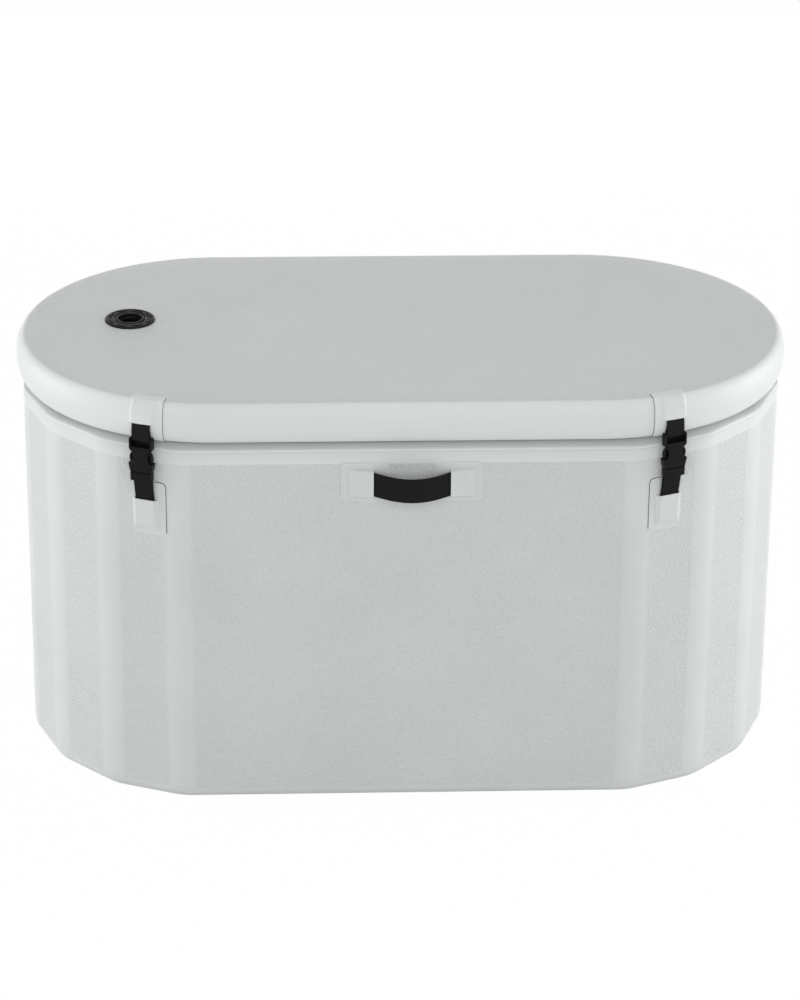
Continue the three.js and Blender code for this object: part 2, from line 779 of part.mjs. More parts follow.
const springFoot = valveFloor - valveDepth + gap + springWire / 2;
const springTop = -buttonBelowTop - buttonHeight - gap - springWire / 2;
const springHelix = new Helix(springFoot, springTop);
function valveSpring() {
  const section = new THREE.Shape(arc(
    point(0, 0), springWire / 2, springWire / 2, 0, 4 * quarter, springSides).slice(1));
  return new THREE.ExtrudeGeometry(section, {
    steps: springTurns * springSteps, extrudePath: springHelix, bevelEnabled: false });
}

// Least gap of the spring to itself, measured on points one or more turns apart
function springSelfGap() {
  const places = springHelix.getPoints(springTurns * springSteps * springSteps);
  const halfTurn = springSteps * springSteps / 2;
  let least = Infinity;
  places.forEach((place, index) => {
    for (const other of places.slice(index + halfTurn)) {
      least = Math.min(least, place.distanceTo(other) - springWire);
    }
  });
  return least;
}

console.log(`valve spring: least gap to itself ${springSelfGap().toFixed(2)} mm`);

for (const [name, place] of [['lid_valve', lidValvePlace], ['wall_valve', wallValvePlace]]) {
  addPiece(place, `${name}_flange`, valveFlange(), blackPlastic);
  addPiece(place, `${name}_body`, valveBody(), blackPlastic);
  addPiece(place, `${name}_plunger`, valvePlunger(), blackPlastic);
  addPiece(place, `${name}_spring`, valveSpring(), springSteel);
}

// Drain pieces: heights are from the outer face of the wall, with +Z away from the tub
const drainFlangeFoot = gap + drainGasketHeight + gap;
const drainFlangeTop = drainFlangeFoot + drainFlangeHeight;
const drainSpoutTop = drainFlangeTop + drainSpout;
addPiece(drainPlace, 'drain_gasket', turned([
  point(drainBarrelRadius + gap, gap),
  point(drainFlangeRadius - drainGasketMargin, gap),
  point(drainFlangeRadius - drainGasketMargin, gap + drainGasketHeight),
  point(drainBarrelRadius + gap, gap + drainGasketHeight),
], roundSides), blackRubber);
addPiece(drainPlace, 'drain_fitting', turned([
  point(drainBore, -wallThickness - drainTail),
  point(drainBarrelRadius, -wallThickness - drainTail),
  point(drainBarrelRadius, drainFlangeFoot),
  point(drainFlangeRadius, drainFlangeFoot),
  point(drainFlangeRadius, drainFlangeTop),
  point(drainBarrelRadius, drainFlangeTop),
  point(drainBarrelRadius, drainSpoutTop),
  point(drainBore, drainSpoutTop),
], roundSides), blackPlastic);
addPiece(drainPlace, 'drain_nut', cut(
  rod(drainNutRadius, -wallThickness - gap - drainNutHeight, -wallThickness - gap, drainNutSides),
  rod(drainBarrelRadius + gap, -wallThickness - drainTail, 0, roundSides)), blackPlastic);
const drainCapRadius = drainBarrelRadius + gap + drainCapWall;
addPiece(drainPlace, 'drain_cap', cut(
  rod(drainCapRadius, drainSpoutTop - drainCapDepth, drainSpoutTop + gap + drainCapTop, drainCapSides),
  rod(drainBarrelRadius + gap, drainFlangeTop, drainSpoutTop + gap, roundSides)), blackPlastic);

export default tub;
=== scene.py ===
import math

import bmesh
import bpy
import numpy as np
from mathutils import Matrix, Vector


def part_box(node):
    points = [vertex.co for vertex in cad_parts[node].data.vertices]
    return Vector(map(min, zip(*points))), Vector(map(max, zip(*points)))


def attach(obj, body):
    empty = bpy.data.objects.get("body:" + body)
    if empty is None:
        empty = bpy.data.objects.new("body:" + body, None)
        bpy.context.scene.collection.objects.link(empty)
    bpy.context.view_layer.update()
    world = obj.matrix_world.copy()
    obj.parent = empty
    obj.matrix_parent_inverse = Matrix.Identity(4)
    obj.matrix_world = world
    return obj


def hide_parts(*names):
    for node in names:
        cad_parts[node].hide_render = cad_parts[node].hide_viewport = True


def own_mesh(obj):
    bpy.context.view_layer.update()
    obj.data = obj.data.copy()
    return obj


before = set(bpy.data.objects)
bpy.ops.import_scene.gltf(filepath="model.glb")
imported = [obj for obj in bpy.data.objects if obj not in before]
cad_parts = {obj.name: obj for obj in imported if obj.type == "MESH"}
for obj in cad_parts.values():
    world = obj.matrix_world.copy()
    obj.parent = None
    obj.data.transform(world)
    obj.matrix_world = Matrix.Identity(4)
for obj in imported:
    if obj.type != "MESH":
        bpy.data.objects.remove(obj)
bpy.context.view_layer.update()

# Base sheet
# A tray of coated cloth under the floor, turned up round the foot of the wall and welded to the wall's skin.
# The cloth is polyester with PVC on both faces: satin, near white, and faintly clouded.
wall_low, wall_high = (np.array(corner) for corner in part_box("wall_outer_skin"))
tub_length, tub_width = (wall_high - wall_low)[:2]
base_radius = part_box("base_sheet")[1].z
end_offset = (tub_length - tub_width) / 2
full_turn = 2 * math.pi
quarter = math.pi / 2
panel_count = 16
panel_turn = full_turn / panel_count
corner_radius, corner_steps = 0.110, 8
face_step, fewest_steps = 0.0095, 4
cloth_thickness = 0.0015
base_steps = 8
base_fill = 0.9
merge_distance, sliver_length = 1e-6, 1e-7


def tub_stations():
    """Stations round the tub's plan: a long polygon of sixteen panels with its corners rounded.

    A point of the plan stands at middle + (radius + outset) * outward. The distance past the corner
    is below nought on a corner's arc and grows along the flat face to its middle."""
    corner = (np.arange(panel_count) + 0.5) * panel_turn
    reach = (tub_width / 2 - corner_radius) / math.cos(panel_turn / 2)
    centre = reach * np.stack([np.cos(corner), np.sin(corner)], -1)
    centre[:, 0] += np.sign(centre[:, 0]) * end_offset
    middles, angles, past = [], [], []
    for panel in range(panel_count):
        here, after = centre[panel], centre[(panel + 1) % panel_count]
        turn = np.linspace(0, 1, corner_steps, endpoint=False)
        middles.append(np.repeat(here[None], corner_steps, 0))
        angles.append((panel + turn) * panel_turn)
        past.append((np.abs(turn - 0.5) - 0.5) * panel_turn * corner_radius)
        length = np.linalg.norm(after - here)
        along = np.linspace(0, 1, max(fewest_steps, round(length / face_step)), endpoint=False)
        middles.append(here + along[:, None] * (after - here))
        angles.append(np.full(len(along), (panel + 1) * panel_turn))
        past.append(np.minimum(along, 1 - along) * length)
    angle = np.concatenate(angles)
    outward = np.stack([np.cos(angle), np.sin(angle)], -1)
    return np.concatenate(middles), outward, np.concatenate(past), corner_radius


def arc(middle, radii, start, stop, steps):
    """Points of an ellipse's arc about a middle, from one angle to another."""
    angle = np.linspace(start, stop, steps + 1)
    return np.array(middle) + np.array(radii) * np.stack([np.cos(angle), np.sin(angle)], -1)


def carried(stations, profile, relief=0.0):
    """A profile of (outset, height) carried round a plan: one row of points for each profile point."""
    middles, outward, _, radius = stations
    outset = profile[:, :1] + relief + np.zeros((1, len(middles)))
    plan = middles[None] + (radius + outset)[..., None] * outward[None]
    height = np.broadcast_to(profile[:, 1:], outset.shape)
    return np.concatenate([plan, height[..., None]], -1)


def grid_faces(points, round_rows=False, round_columns=True):
    """Quads between neighbouring rows and columns of a grid of points, joined round where it closes."""
    rows, columns = points.shape[:2]
    row = np.arange(rows if round_rows else rows - 1)[:, None]
    column = np.arange(columns if round_columns else columns - 1)[None]
    above, beside = (row + 1) % rows, (column + 1) % columns
    here, ahead = row * columns, above * columns
    corners = [here + column, here + beside, ahead + beside, ahead + column]
    return np.stack(np.broadcast_arrays(*corners), -1).reshape(-1, 4)


def capped(points):
    """Faces of rows of points closed round, with the first and last rows filled in."""
    rows, columns = points.shape[:2]
    first = list(range(columns))[::-1]
    last = list(range((rows - 1) * columns, rows * columns))
    return grid_faces(points).tolist() + [first, last]


def piece(name, points, faces, finish, body, slot, node, values=None, weave=None, shell=0.0, sharp=35):
    """Makes a mesh object from points and faces, and says which body carries it and which node it replaces.

    Values are named point attributes, weave is a UV map in metres, and a shell thickens an open sheet."""
    mesh = bpy.data.meshes.new(name)
    corners = faces if isinstance(faces, list) else faces.tolist()
    mesh.from_pydata(np.reshape(points, (-1, 3)).tolist(), [], corners)
    for label, value in (values or {}).items():
        mesh.attributes.new(label, "FLOAT", "POINT").data.foreach_set("value", np.ravel(value))
    if weave is not None:
        at = np.empty(len(mesh.loops), int)
        mesh.loops.foreach_get("vertex_index", at)
        mesh.uv_layers.new(name="weave").data.foreach_set("uv", np.reshape(weave, (-1, 2))[at].ravel())
    work = bmesh.new()
    work.from_mesh(mesh)
    bmesh.ops.remove_doubles(work, verts=work.verts, dist=merge_distance)
    bmesh.ops.dissolve_degenerate(work, edges=work.edges, dist=sliver_length)
    if not shell:
        bmesh.ops.recalc_face_normals(work, faces=work.faces)
    work.to_mesh(mesh)
    work.free()
    mesh.shade_smooth()
    mesh.set_sharp_from_angle(angle=math.radians(sharp))
    made = bpy.data.objects.new(name, mesh)
    bpy.context.scene.collection.objects.link(made)
    mesh.materials.append(finish)
    if shell:
        wall = made.modifiers.new("shell", "SOLIDIFY")
        wall.thickness = shell
        wall.offset = -1
    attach(made, body)
    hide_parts(node)
    return made


def cloth_piece(name, points, faces, finish, body, node, cut, slot="white_pvc", **form):
    """A piece of coated cloth. Its cut, the flat size and what it rests on, is not used."""
    made = piece(name, points, faces, finish, body, slot, node, **form)


def laid(flat, under):
    """The cut of a sheet that lies on one other piece."""
    return {"flat": flat, "held": "laid", "rests_on": [under]}


def stretched(flat, *under, **more):
    """The cut of a sheet that is stretched on chambers."""
    return {"flat": flat, "held": "stretched", "rests_on": list(under), **more}


class Signal:
    """A value in a material's node tree. Arithmetic on it adds Math nodes."""

    def __init__(self, tree, socket=None):
        self.tree = tree
        self.socket = socket

    def node(self, kind, inputs, output=0, **settings):
        made = self.tree.nodes.new(kind)
        for setting, value in settings.items():
            setattr(made, setting, value)
        for key, value in inputs.items():
            if isinstance(value, Signal):
                self.tree.links.new(value.socket, made.inputs[key])
            else:
                made.inputs[key].default_value = value
        return Signal(self.tree, made.outputs[output])

    def maths(self, operation, first, second=0.0):
        return self.node("ShaderNodeMath", {0: first, 1: second}, operation=operation)

    def between(self, first, second):
        """The colour this far from the first to the second."""
        return self.node("ShaderNodeMix", {0: self, 6: first, 7: second}, output=2, data_type="RGBA")

    def noise(self, scale, detail=2.0):
        """Even noise over this vector, about nought to one."""
        inputs = {"Vector": self, "Scale": scale, "Detail": detail}
        return self.node("ShaderNodeTexNoise", inputs, output="Fac")

    def marked(self, label):
        """The piece's own attribute of that name."""
        return self.node("ShaderNodeAttribute", {}, output="Fac", attribute_name=label)

    def bump(self, distance):
        return self.node("ShaderNodeBump", {"Height": self, "Distance": distance, "Strength": 1.0})


# Plus, minus and times, with a plain number on either side
for symbol, operation in (("add", "ADD"), ("sub", "SUBTRACT"), ("mul", "MULTIPLY")):
    setattr(Signal, f"__{symbol}__", lambda self, other, kind=operation: self.maths(kind, self, other))
    setattr(Signal, f"__r{symbol}__", lambda self, other, kind=operation: self.maths(kind, other, self))


def blank(name):
    """A new material and its object coordinates."""
    material = bpy.data.materials.new(name)
    material.use_nodes = True
    place = Signal(material.node_tree).node("ShaderNodeTexCoord", {}, output="Object")
    return material, place


def dress(material, inputs):
    """Sets or links the sockets of a material's main shader."""
    shader = material.node_tree.nodes["Principled BSDF"]
    for key, value in inputs.items():
        if isinstance(value, Signal):
            material.node_tree.links.new(value.socket, shader.inputs[key])
        else:
            shader.inputs[key].default_value = value
    return material


cell_scale, clump_scale, cloud_scale, pore_scale = 250.0, 110.0, 5.0, 900.0
pebble_least, pebble_swing, pebble_shade = 0.35, 1.1, 0.8
pore_share, grain_depth, smooth_gain = 0.03, 0.0016, 1.03
cloth_roughness, cloud_roughness, pebble_roughness, cloth_gloss = 0.44, 0.10, 0.12, 0.35
# Painted shade: thin dark lines along the patches' inner edges and in the rim's weld groove stand in for the
# shade there, drawn in the grey of a cut edge.
cut_edge_and_shade_colour = (0.10, 0.105, 0.105, 1.0)
# Painted shade: the roll of the rim, under the lid's overhang, is coloured greyer to stand in for the shade
# there.
roll_shade_colour = (0.47, 0.495, 0.475, 1.0)


def coated_cloth(name, light, dark):
    """PVC cloth: clouded between two near colours, with pebbled cells in the places that 'grain' marks,
    thin lines of painted shade in the grey of a cut edge where its line mark is set, and painted shade where
    'roll' marks it."""
    material, place = blank(name)
    grain, roll, line_shade = (place.marked(label) for label in ("grain", "roll", "line_shade"))
    cells = place.node("ShaderNodeTexVoronoi", {"Vector": place, "Scale": cell_scale}, output="Distance")
    pebble = (1.0 - cells) * (pebble_least + place.noise(clump_scale, detail=3.0) * pebble_swing)
    cloud = place.noise(cloud_scale, detail=3.0)
    mottle = (pebble - 0.5) * grain * pebble_shade + cloud
    smooth_light, smooth_dark = ((*(smooth_gain * part for part in tone[:3]), 1.0) for tone in (light, dark))
    smooth = cloud.between(smooth_dark, smooth_light)
    face = roll.between(grain.between(smooth, mottle.between(dark, light)), roll_shade_colour)
    height = pebble * grain + place.noise(pore_scale) * pore_share
    return dress(material, {
        "Base Color": line_shade.between(face, cut_edge_and_shade_colour),
        "Roughness": cloth_roughness + cloud * cloud_roughness + pebble * grain * pebble_roughness,
        "Normal": height.bump(grain_depth),
        "Specular IOR Level": cloth_gloss,
    })


white_cloth = coated_cloth("white coated cloth", (0.660, 0.685, 0.678, 1.0), (0.590, 0.612, 0.606, 1.0))
white_tape = coated_cloth("white smooth tape", (0.715, 0.740, 0.733, 1.0), (0.650, 0.674, 0.667, 1.0))
wall_stations = tub_stations()
base_middle = (-base_radius, base_radius)
base_inner = base_radius - cloth_thickness
base_profile = np.concatenate([
    arc(base_middle, (base_radius, base_radius), -quarter, 0, base_steps),
    arc(base_middle, (base_inner, base_inner), 0, -quarter, base_steps),
])
base_points = carried(wall_stations, base_profile)
base_cut = (tub_length + 2 * base_radius, tub_width + 2 * base_radius)
cloth_piece(
    "base_cloth", base_points, capped(base_points), white_cloth, "tub", "base_sheet",
    stretched(base_cut, "wall_core", "floor_core", area=base_fill * base_cut[0] * base_cut[1]))

# Drop-stitch chambers
# The wall, the floor and the lid are flat air chambers: two cloths held apart by thousands of cross threads.
# They lie inside the skins, so little of them shows; the woven face is a dull off-white.
thread_scale, thread_depth, thread_roughness, ridge_roughness = 160.0, 0.0003, 0.85, 0.1


def drop_stitch(name):
    """Woven polyester: two crossing sets of fine ridges on a dull off-white."""
    material, place = blank(name)
    warp, weft = (place.node("ShaderNodeTexWave", {"Vector": place, "Scale": thread_scale}, output="Fac",
                             bands_direction=direction) for direction in "XZ")
    weave = warp * weft
    return dress(material, {
        "Base Color": weave.between((0.42, 0.43, 0.41, 1.0), (0.52, 0.53, 0.51, 1.0)),
        "Roughness": thread_roughness + weave * ridge_roughness,
        "Normal": weave.bump(thread_depth),
    })


chamber_cloth = drop_stitch("drop stitch cloth")
for node in ("wall_core", "floor_core", "lid_core"):
    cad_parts[node].data.materials.clear()
    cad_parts[node].data.materials.append(chamber_cloth)

# Wall skin
# The outer face of the wall: pebbled PVC on the flat panels, with smooth strips welded up every corner.
# It runs from the base sheet to the rim tape, with round holes for the air valve and the drain at the back.
rearward = np.array([0.0, 1.0, 0.0])
cloth_gap = 0.0003
drain_across, drain_height, drain_hole_radius = 0.300, 0.112, 0.025
valve_across, valve_height, valve_hole_radius = -0.300, 0.560, 0.038
drain_place = np.array([drain_across, tub_width / 2, drain_height])
wall_valve_place = np.array([valve_across, tub_width / 2, valve_height])
hole_reach = 0.03
strip_rise, strip_fade, strip_run = 0.0005, 0.004, 0.030
skin_rows = 76


def eased(value, start, stop):
    """Nought before start, one after stop, and smooth between."""
    share = np.clip((value - start) / (stop - start), 0, 1)
    return share * share * (3 - 2 * share)


def pierced(points, faces, middle, axis, radius):
    """Opens a round hole in a grid: the faces within it go, and the corners left are drawn onto its circle.

    Gives the points and faces that stay, and which points those were."""
    along = (points - middle) @ axis
    away = points - middle - along[:, None] * axis
    distance = np.linalg.norm(away, axis=1)
    inside = (distance < radius) & (np.abs(along) < hole_reach)
    gone = inside[faces].any(axis=1)
    kept = faces[~gone]
    edge = np.intersect1d(faces[gone], kept)
    moved = points.copy()
    moved[edge] += away[edge] * (radius / distance[edge] - 1)[:, None]
    used, renumbered = np.unique(kept, return_inverse=True)
    return moved[used], renumbered.reshape(-1, 4), used


def path_length(path):
    """The length of a path of points."""
    return float(np.linalg.norm(np.diff(path, axis=0), axis=1).sum())


def around(ring):
    """The length of a closed ring of points."""
    return path_length(np.concatenate([ring, ring[:1]]))


skin_foot, skin_top = base_radius, float(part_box("rim_tape")[0].z)
skin_height = np.linspace(skin_foot, skin_top, skin_rows - 2)
skin_height = np.insert(skin_height, [1, skin_rows - 3], [skin_foot + cloth_gap, skin_top - cloth_gap])
skin_profile = np.stack([np.zeros(skin_rows), skin_height], -1)
strip_share = (eased(skin_height, skin_foot, skin_foot + strip_run)
               * eased(skin_height, skin_top, skin_top - strip_run))
panel_share = eased(wall_stations[2], 0.0, strip_fade)
skin_relief = strip_rise * strip_share[:, None] * (1 - panel_share)[None]
skin_points = carried(wall_stations, skin_profile, skin_relief)
skin_faces = grid_faces(skin_points)
skin_grain = np.broadcast_to(panel_share, skin_points.shape[:2]).ravel()
skin_points = skin_points.reshape(-1, 3)
for hole_place, hole_radius in ((drain_place, drain_hole_radius), (wall_valve_place, valve_hole_radius)):
    skin_points, skin_faces, kept_points = pierced(skin_points, skin_faces, hole_place, rearward, hole_radius)
    skin_grain = skin_grain[kept_points]
wall_round = around(carried(wall_stations, skin_profile[:1])[0])
cloth_piece(
    "wall_skin", skin_points, skin_faces, white_cloth, "tub", "wall_outer_skin",
    stretched((skin_top - skin_foot, wall_round), "wall_core"),
    values={"grain": skin_grain}, shell=cloth_thickness)

# Inner liner
# One bowl of the same cloth that covers the inside of the wall and the top of the floor, with a rounded foot.
# It is welded to the rim tape at the top and pierced by the drain.
liner_low, liner_high = (np.array(corner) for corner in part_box("inner_liner"))
wall_thickness = 0.080
liner_foot_radius, liner_foot_steps, liner_rows = 0.014, 6, 72
floor_top = float(liner_low[2]) + cloth_thickness
liner_foot = (-wall_thickness - liner_foot_radius, floor_top + liner_foot_radius)
liner_height = np.linspace(liner_high[2], liner_foot[1], liner_rows)
liner_profile = np.concatenate([
    np.stack([np.full(liner_rows, -wall_thickness), liner_height], -1)[:-1],
    arc(liner_foot, (liner_foot_radius, liner_foot_radius), 0, -quarter, liner_foot_steps),
    [[-wall_thickness - corner_radius / 4, floor_top]],
])
liner_points = carried(wall_stations, liner_profile)
liner_columns = liner_points.shape[1]
liner_faces = grid_faces(liner_points)
liner_grain = np.broadcast_to(panel_share, liner_points.shape[:2]).ravel()
drain_mouth = drain_place - wall_thickness * rearward
liner_points, liner_faces, kept_points = pierced(
    liner_points.reshape(-1, 3), liner_faces, drain_mouth, rearward, drain_hole_radius)
floor_ring = list(range(len(liner_points) - liner_columns, len(liner_points)))
liner_cloth = coated_cloth("liner cloth", (0.60, 0.63, 0.63, 1.0), (0.53, 0.56, 0.56, 1.0))
liner_depth = float(liner_high[2]) - floor_top
basin_length, basin_width = tub_length - 2 * wall_thickness, tub_width - 2 * wall_thickness
basin_round = around(carried(wall_stations, np.array([[-wall_thickness, floor_top]]))[0])
basin_floor = basin_length * basin_width - (4 - math.pi) * basin_width ** 2 / 4
cloth_piece(
    "basin_liner", liner_points, liner_faces.tolist() + [floor_ring], liner_cloth, "tub", "inner_liner",
    stretched((basin_width + 2 * liner_depth, basin_length + 2 * liner_depth), "wall_core", "floor_core",
              area=basin_round * liner_depth + basin_floor),
    slot="liner_pvc", values={"grain": liner_grain[kept_points]}, shell=cloth_thickness)

# Rim tape
# A smooth band folded over the top of the wall, which joins the skin and the liner.
# A bead runs round it where the roll of the rim begins, above a shallow weld line.
rim_low, rim_high = (np.array(corner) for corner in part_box("rim_tape"))
rim_radius, rim_arc_steps = 0.022, 8
rim_foot, rim_top = float(rim_low[2]), float(rim_high[2])
rim_inner = rim_radius - cloth_thickness
rim_outer_middle = (-rim_radius, rim_top - rim_radius)
rim_inner_middle = (rim_radius - wall_thickness, rim_top - rim_radius)
weld_drop, weld_shade = 0.0215, 0.22
weld_line = rim_top - weld_drop
bead_rise, groove_depth, bead_step = 0.0007, 0.0004, 0.0012
roll_foot = weld_line + 3 * bead_step
roll_depth, roll_height, roll_steps = 0.033, rim_top - roll_foot, 12
roll_shade_from, roll_shade_to = roll_foot - 0.001, roll_foot + 0.005
rim_outer = np.concatenate([
    [[0.0, rim_foot], [0.0, weld_line - bead_step], [-groove_depth, weld_line],
     [bead_rise, weld_line + bead_step], [bead_rise, weld_line + 2 * bead_step]],
    arc((-roll_depth, roll_foot), (roll_depth, roll_height), 0, quarter, roll_steps),
    arc(rim_inner_middle, (rim_radius, rim_radius), quarter, 2 * quarter, rim_arc_steps),
    [[-wall_thickness, rim_foot]],
])
rim_profile = np.concatenate([
    rim_outer,
    [[cloth_thickness - wall_thickness, rim_foot]],
    arc(rim_inner_middle, (rim_inner, rim_inner), 2 * quarter, quarter, rim_arc_steps),
    arc(rim_outer_middle, (rim_inner, rim_inner), quarter, 0, rim_arc_steps),
    [[-cloth_thickness, rim_foot]],
])
rim_points = carried(wall_stations, rim_profile)
rim_columns = rim_points.shape[1]
rim_outside = rim_profile[:, 0] > -wall_thickness / 2
# Painted shade on the roll under the lid, from just above the bead up to the top.
rim_roll_shade = eased(rim_profile[:, 1], roll_shade_from, roll_shade_to) * rim_outside
# A dark line painted in the weld groove: painted shade.
rim_weld_shade = weld_shade * np.exp(-((rim_profile[:, 1] - weld_line) / bead_step) ** 2) * rim_outside
cloth_piece(
    "rim_band", rim_points, grid_faces(rim_points, round_rows=True), white_tape, "tub", "rim_tape",
    stretched((path_length(rim_outer), wall_round), "wall_core"),
    values={"roll": np.repeat(rim_roll_shade, rim_columns), "line_shade": np.repeat(rim_weld_shade, rim_columns)})

# Drain
# A moulded black fitting through the foot of the wall: a flange on a rubber gasket outside, a hexagonal nut
# inside, and a ribbed cap screwed on the spout.
turn_steps = 72
fillet_share = 0.45
handled_scale, spark_scale, spark_roughness, plastic_gloss = 45.0, 1500.0, 0.12, 0.10


def filleted(corners, cut, steps=4):
    """A closed outline with each corner cut back by a length and rounded with a quadratic curve."""
    corners = np.array(corners, float)
    before = np.roll(corners, 1, 0) - corners
    after = np.roll(corners, -1, 0) - corners
    length_before = np.linalg.norm(before, axis=1, keepdims=True)
    length_after = np.linalg.norm(after, axis=1, keepdims=True)
    back = np.minimum(cut, fillet_share * np.minimum(length_before, length_after))
    share = np.linspace(0, 1, steps + 1)[None, :, None]
    start = (before / length_before * back)[:, None] * (1 - share) ** 2
    stop = (after / length_after * back)[:, None] * share ** 2
    return (corners[:, None] + start + stop).reshape(-1, 2)


def spokes(axis, angle):
    """Unit rays square to an axis, at angles about it that start along the tub."""
    side = np.array([1.0, 0.0, 0.0])
    return np.cos(angle)[:, None] * side + np.sin(angle)[:, None] * np.cross(axis, side)


def turned(profile, place, axis, ripple=None):
    """A closed profile of (radius, height) turned about an axis at a place.

    A ripple of (count, depth, from radius) flutes the points outside that radius."""
    angle = np.linspace(0, full_turn, turn_steps, endpoint=False)
    radius = np.repeat(profile[:, :1], turn_steps, 1)
    if ripple is not None:
        count, depth, limit = ripple
        radius = radius - np.where(radius > limit, depth * (1 + np.cos(count * angle)) / 2, 0)
    points = place + radius[..., None] * spokes(axis, angle)[None] + profile[:, 1][:, None, None] * axis
    return points, grid_faces(points, round_rows=True)


def moulded_plastic(name, colour, worn, roughness, depth):
    """Black moulded plastic: a fine spark texture, with faint paler clouds where it is handled."""
    material, place = blank(name)
    cloud = place.noise(handled_scale, detail=3.0)
    spark = place.noise(spark_scale)
    return dress(material, {
        "Base Color": cloud.between(colour, worn),
        "Roughness": roughness + spark * spark_roughness,
        "Normal": spark.bump(depth),
        "Specular IOR Level": plastic_gloss,
    })


black_plastic = moulded_plastic(
    "black plastic", colour=(0.0046, 0.0047, 0.0050, 1.0), worn=(0.0082, 0.0084, 0.0090, 1.0),
    roughness=0.34, depth=0.00006)
black_rubber = moulded_plastic(
    "black rubber", colour=(0.006, 0.006, 0.006, 1.0), worn=(0.012, 0.012, 0.012, 1.0),
    roughness=0.62, depth=0.00012)


def plastic_piece(name, form, body, node, **more):
    """A piece of the black plastic, from its points and faces."""
    piece(name, *form, black_plastic, body, "black_plastic", node, **more)


axis_gap = 0.0004
drain_barrel, drain_bore, drain_flange = 0.023, 0.018, 0.039
gasket_height, gasket_inset, gasket_fillet = 0.002, 0.002, 0.0006
flange_height, spout, nut_room, fitting_fillet = 0.004, 0.020, 0.012, 0.0011
flange_foot = 2 * cloth_gap + gasket_height
flange_top = flange_foot + flange_height
spout_top = flange_top + spout
drain_tail = wall_thickness + nut_room
gasket_edge, gasket_top = drain_flange - gasket_inset, cloth_gap + gasket_height
gasket_profile = filleted([
    (drain_barrel + cloth_gap, cloth_gap), (gasket_edge, cloth_gap), (gasket_edge, gasket_top),
    (drain_barrel + cloth_gap, gasket_top)], gasket_fillet)
fitting_profile = filleted([
    (drain_bore, -drain_tail), (drain_barrel, -drain_tail), (drain_barrel, flange_foot),
    (drain_flange, flange_foot), (drain_flange, flange_top), (drain_barrel, flange_top),
    (drain_barrel, spout_top), (drain_bore, spout_top)], fitting_fillet)
cap_wall, cap_crown, cap_skirt, cap_fillet = 0.004, 0.003, 0.016, 0.0009
dish_rim, dish_slope, dish_depth = 0.006, 0.001, 0.0012
flute_count, flute_depth, flute_limit = 24, 0.0009, 0.002
cap_inside = drain_barrel + cloth_gap
cap_outside = cap_inside + cap_wall
cap_foot, cap_ceiling = spout_top - cap_skirt, spout_top + cloth_gap
cap_top = cap_ceiling + cap_crown
dish_edge, dish_floor = cap_outside - dish_rim, cap_top - dish_depth
cap_profile = filleted([
    (axis_gap, cap_ceiling), (cap_inside, cap_ceiling), (cap_inside, cap_foot), (cap_outside, cap_foot),
    (cap_outside, cap_top), (dish_edge, cap_top), (dish_edge - dish_slope, dish_floor),
    (axis_gap, dish_floor)], cap_fillet)
cap_flutes = (flute_count, flute_depth, cap_inside + flute_limit)
gasket_form = turned(gasket_profile, drain_place, rearward)
piece("drain_gasket_ring", *gasket_form, black_rubber, "tub", "black_rubber", "drain_gasket")
plastic_piece("drain_spout", turned(fitting_profile, drain_place, rearward), "tub", "drain_fitting")
cap_form = turned(cap_profile, drain_place, rearward, cap_flutes)
plastic_piece("drain_cap_ribbed", cap_form, "drain_cap", "drain_cap")
nut_corner, nut_height, nut_chamfer, nut_sharp = 0.036, 0.008, 0.0012, 25
nut_low = -wall_thickness - cloth_gap - nut_height
nut_high = nut_low + nut_height
nut_half_side = math.pi / 6
nut_angle = np.linspace(0, full_turn, turn_steps, endpoint=False)
nut_turn = (nut_angle + nut_half_side) % (2 * nut_half_side) - nut_half_side
nut_radius = nut_corner * math.cos(nut_half_side) / np.cos(nut_turn)
nut_bore = np.full(turn_steps, cap_inside)
nut_bevel = nut_radius - nut_chamfer
nut_rows = np.stack([nut_bevel, nut_radius, nut_radius, nut_bevel, nut_bore, nut_bore])
nut_levels = np.array([nut_low, nut_low + nut_chamfer, nut_high - nut_chamfer, nut_high, nut_high, nut_low])
nut_points = (drain_place + nut_rows[..., None] * spokes(rearward, -nut_angle)[None]
              + nut_levels[:, None, None] * rearward)
nut_form = nut_points, grid_faces(nut_points, round_rows=True)
plastic_piece("drain_hex_nut", nut_form, "tub", "drain_nut", sharp=nut_sharp)

# Lid sheets and side band
# The lid is a slab with a bulging edge: a pebbled top sheet and a plain bottom one, joined by a smooth band.
# The band is welded to each sheet in a shallow crease, and the top sheet has a round hole for the valve.
band_low, band_high = (np.array(corner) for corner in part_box("lid_side_band"))
lid_foot, lid_top = float(band_low[2]), float(band_high[2])
lid_middle = (lid_foot + lid_top) / 2
lid_half = (lid_top - lid_foot) / 2
lid_radius = float(band_high[1] - band_low[1]) / 2
lid_bulge = 0.018
lid_step, fewest_bends = 0.009, 8
edge_fall, fall_reach, fall_angle, fall_power = 0.0013, 0.016, 0.45, 1.2
crease_depth, crease_reach, crease_angle = 0.0002, 0.002, 0.03
border_width, border_rows, field_rows, band_rows = 0.018, 10, 40, 41
flange_low, flange_high = (np.array(corner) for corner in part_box("lid_valve_flange"))
lid_valve_place = np.append(((flange_low + flange_high) / 2)[:2], lid_top)
upward = np.array([0.0, 0.0, 1.0])


def top_drop(inset):
    """How far the lid's top falls below its middle's level, this far in from the crease."""
    fall = edge_fall * np.exp(-(inset / fall_reach) ** fall_power)
    return fall + crease_depth * np.exp(-(inset / crease_reach) ** 2)


def band_drop(angle):
    """How far the lid's band falls short of its ellipse near the crease, at an angle round the bulge."""
    away = quarter - angle
    return edge_fall * np.exp(-(away / fall_angle) ** 2) + crease_depth * np.exp(-(away / crease_angle) ** 2)


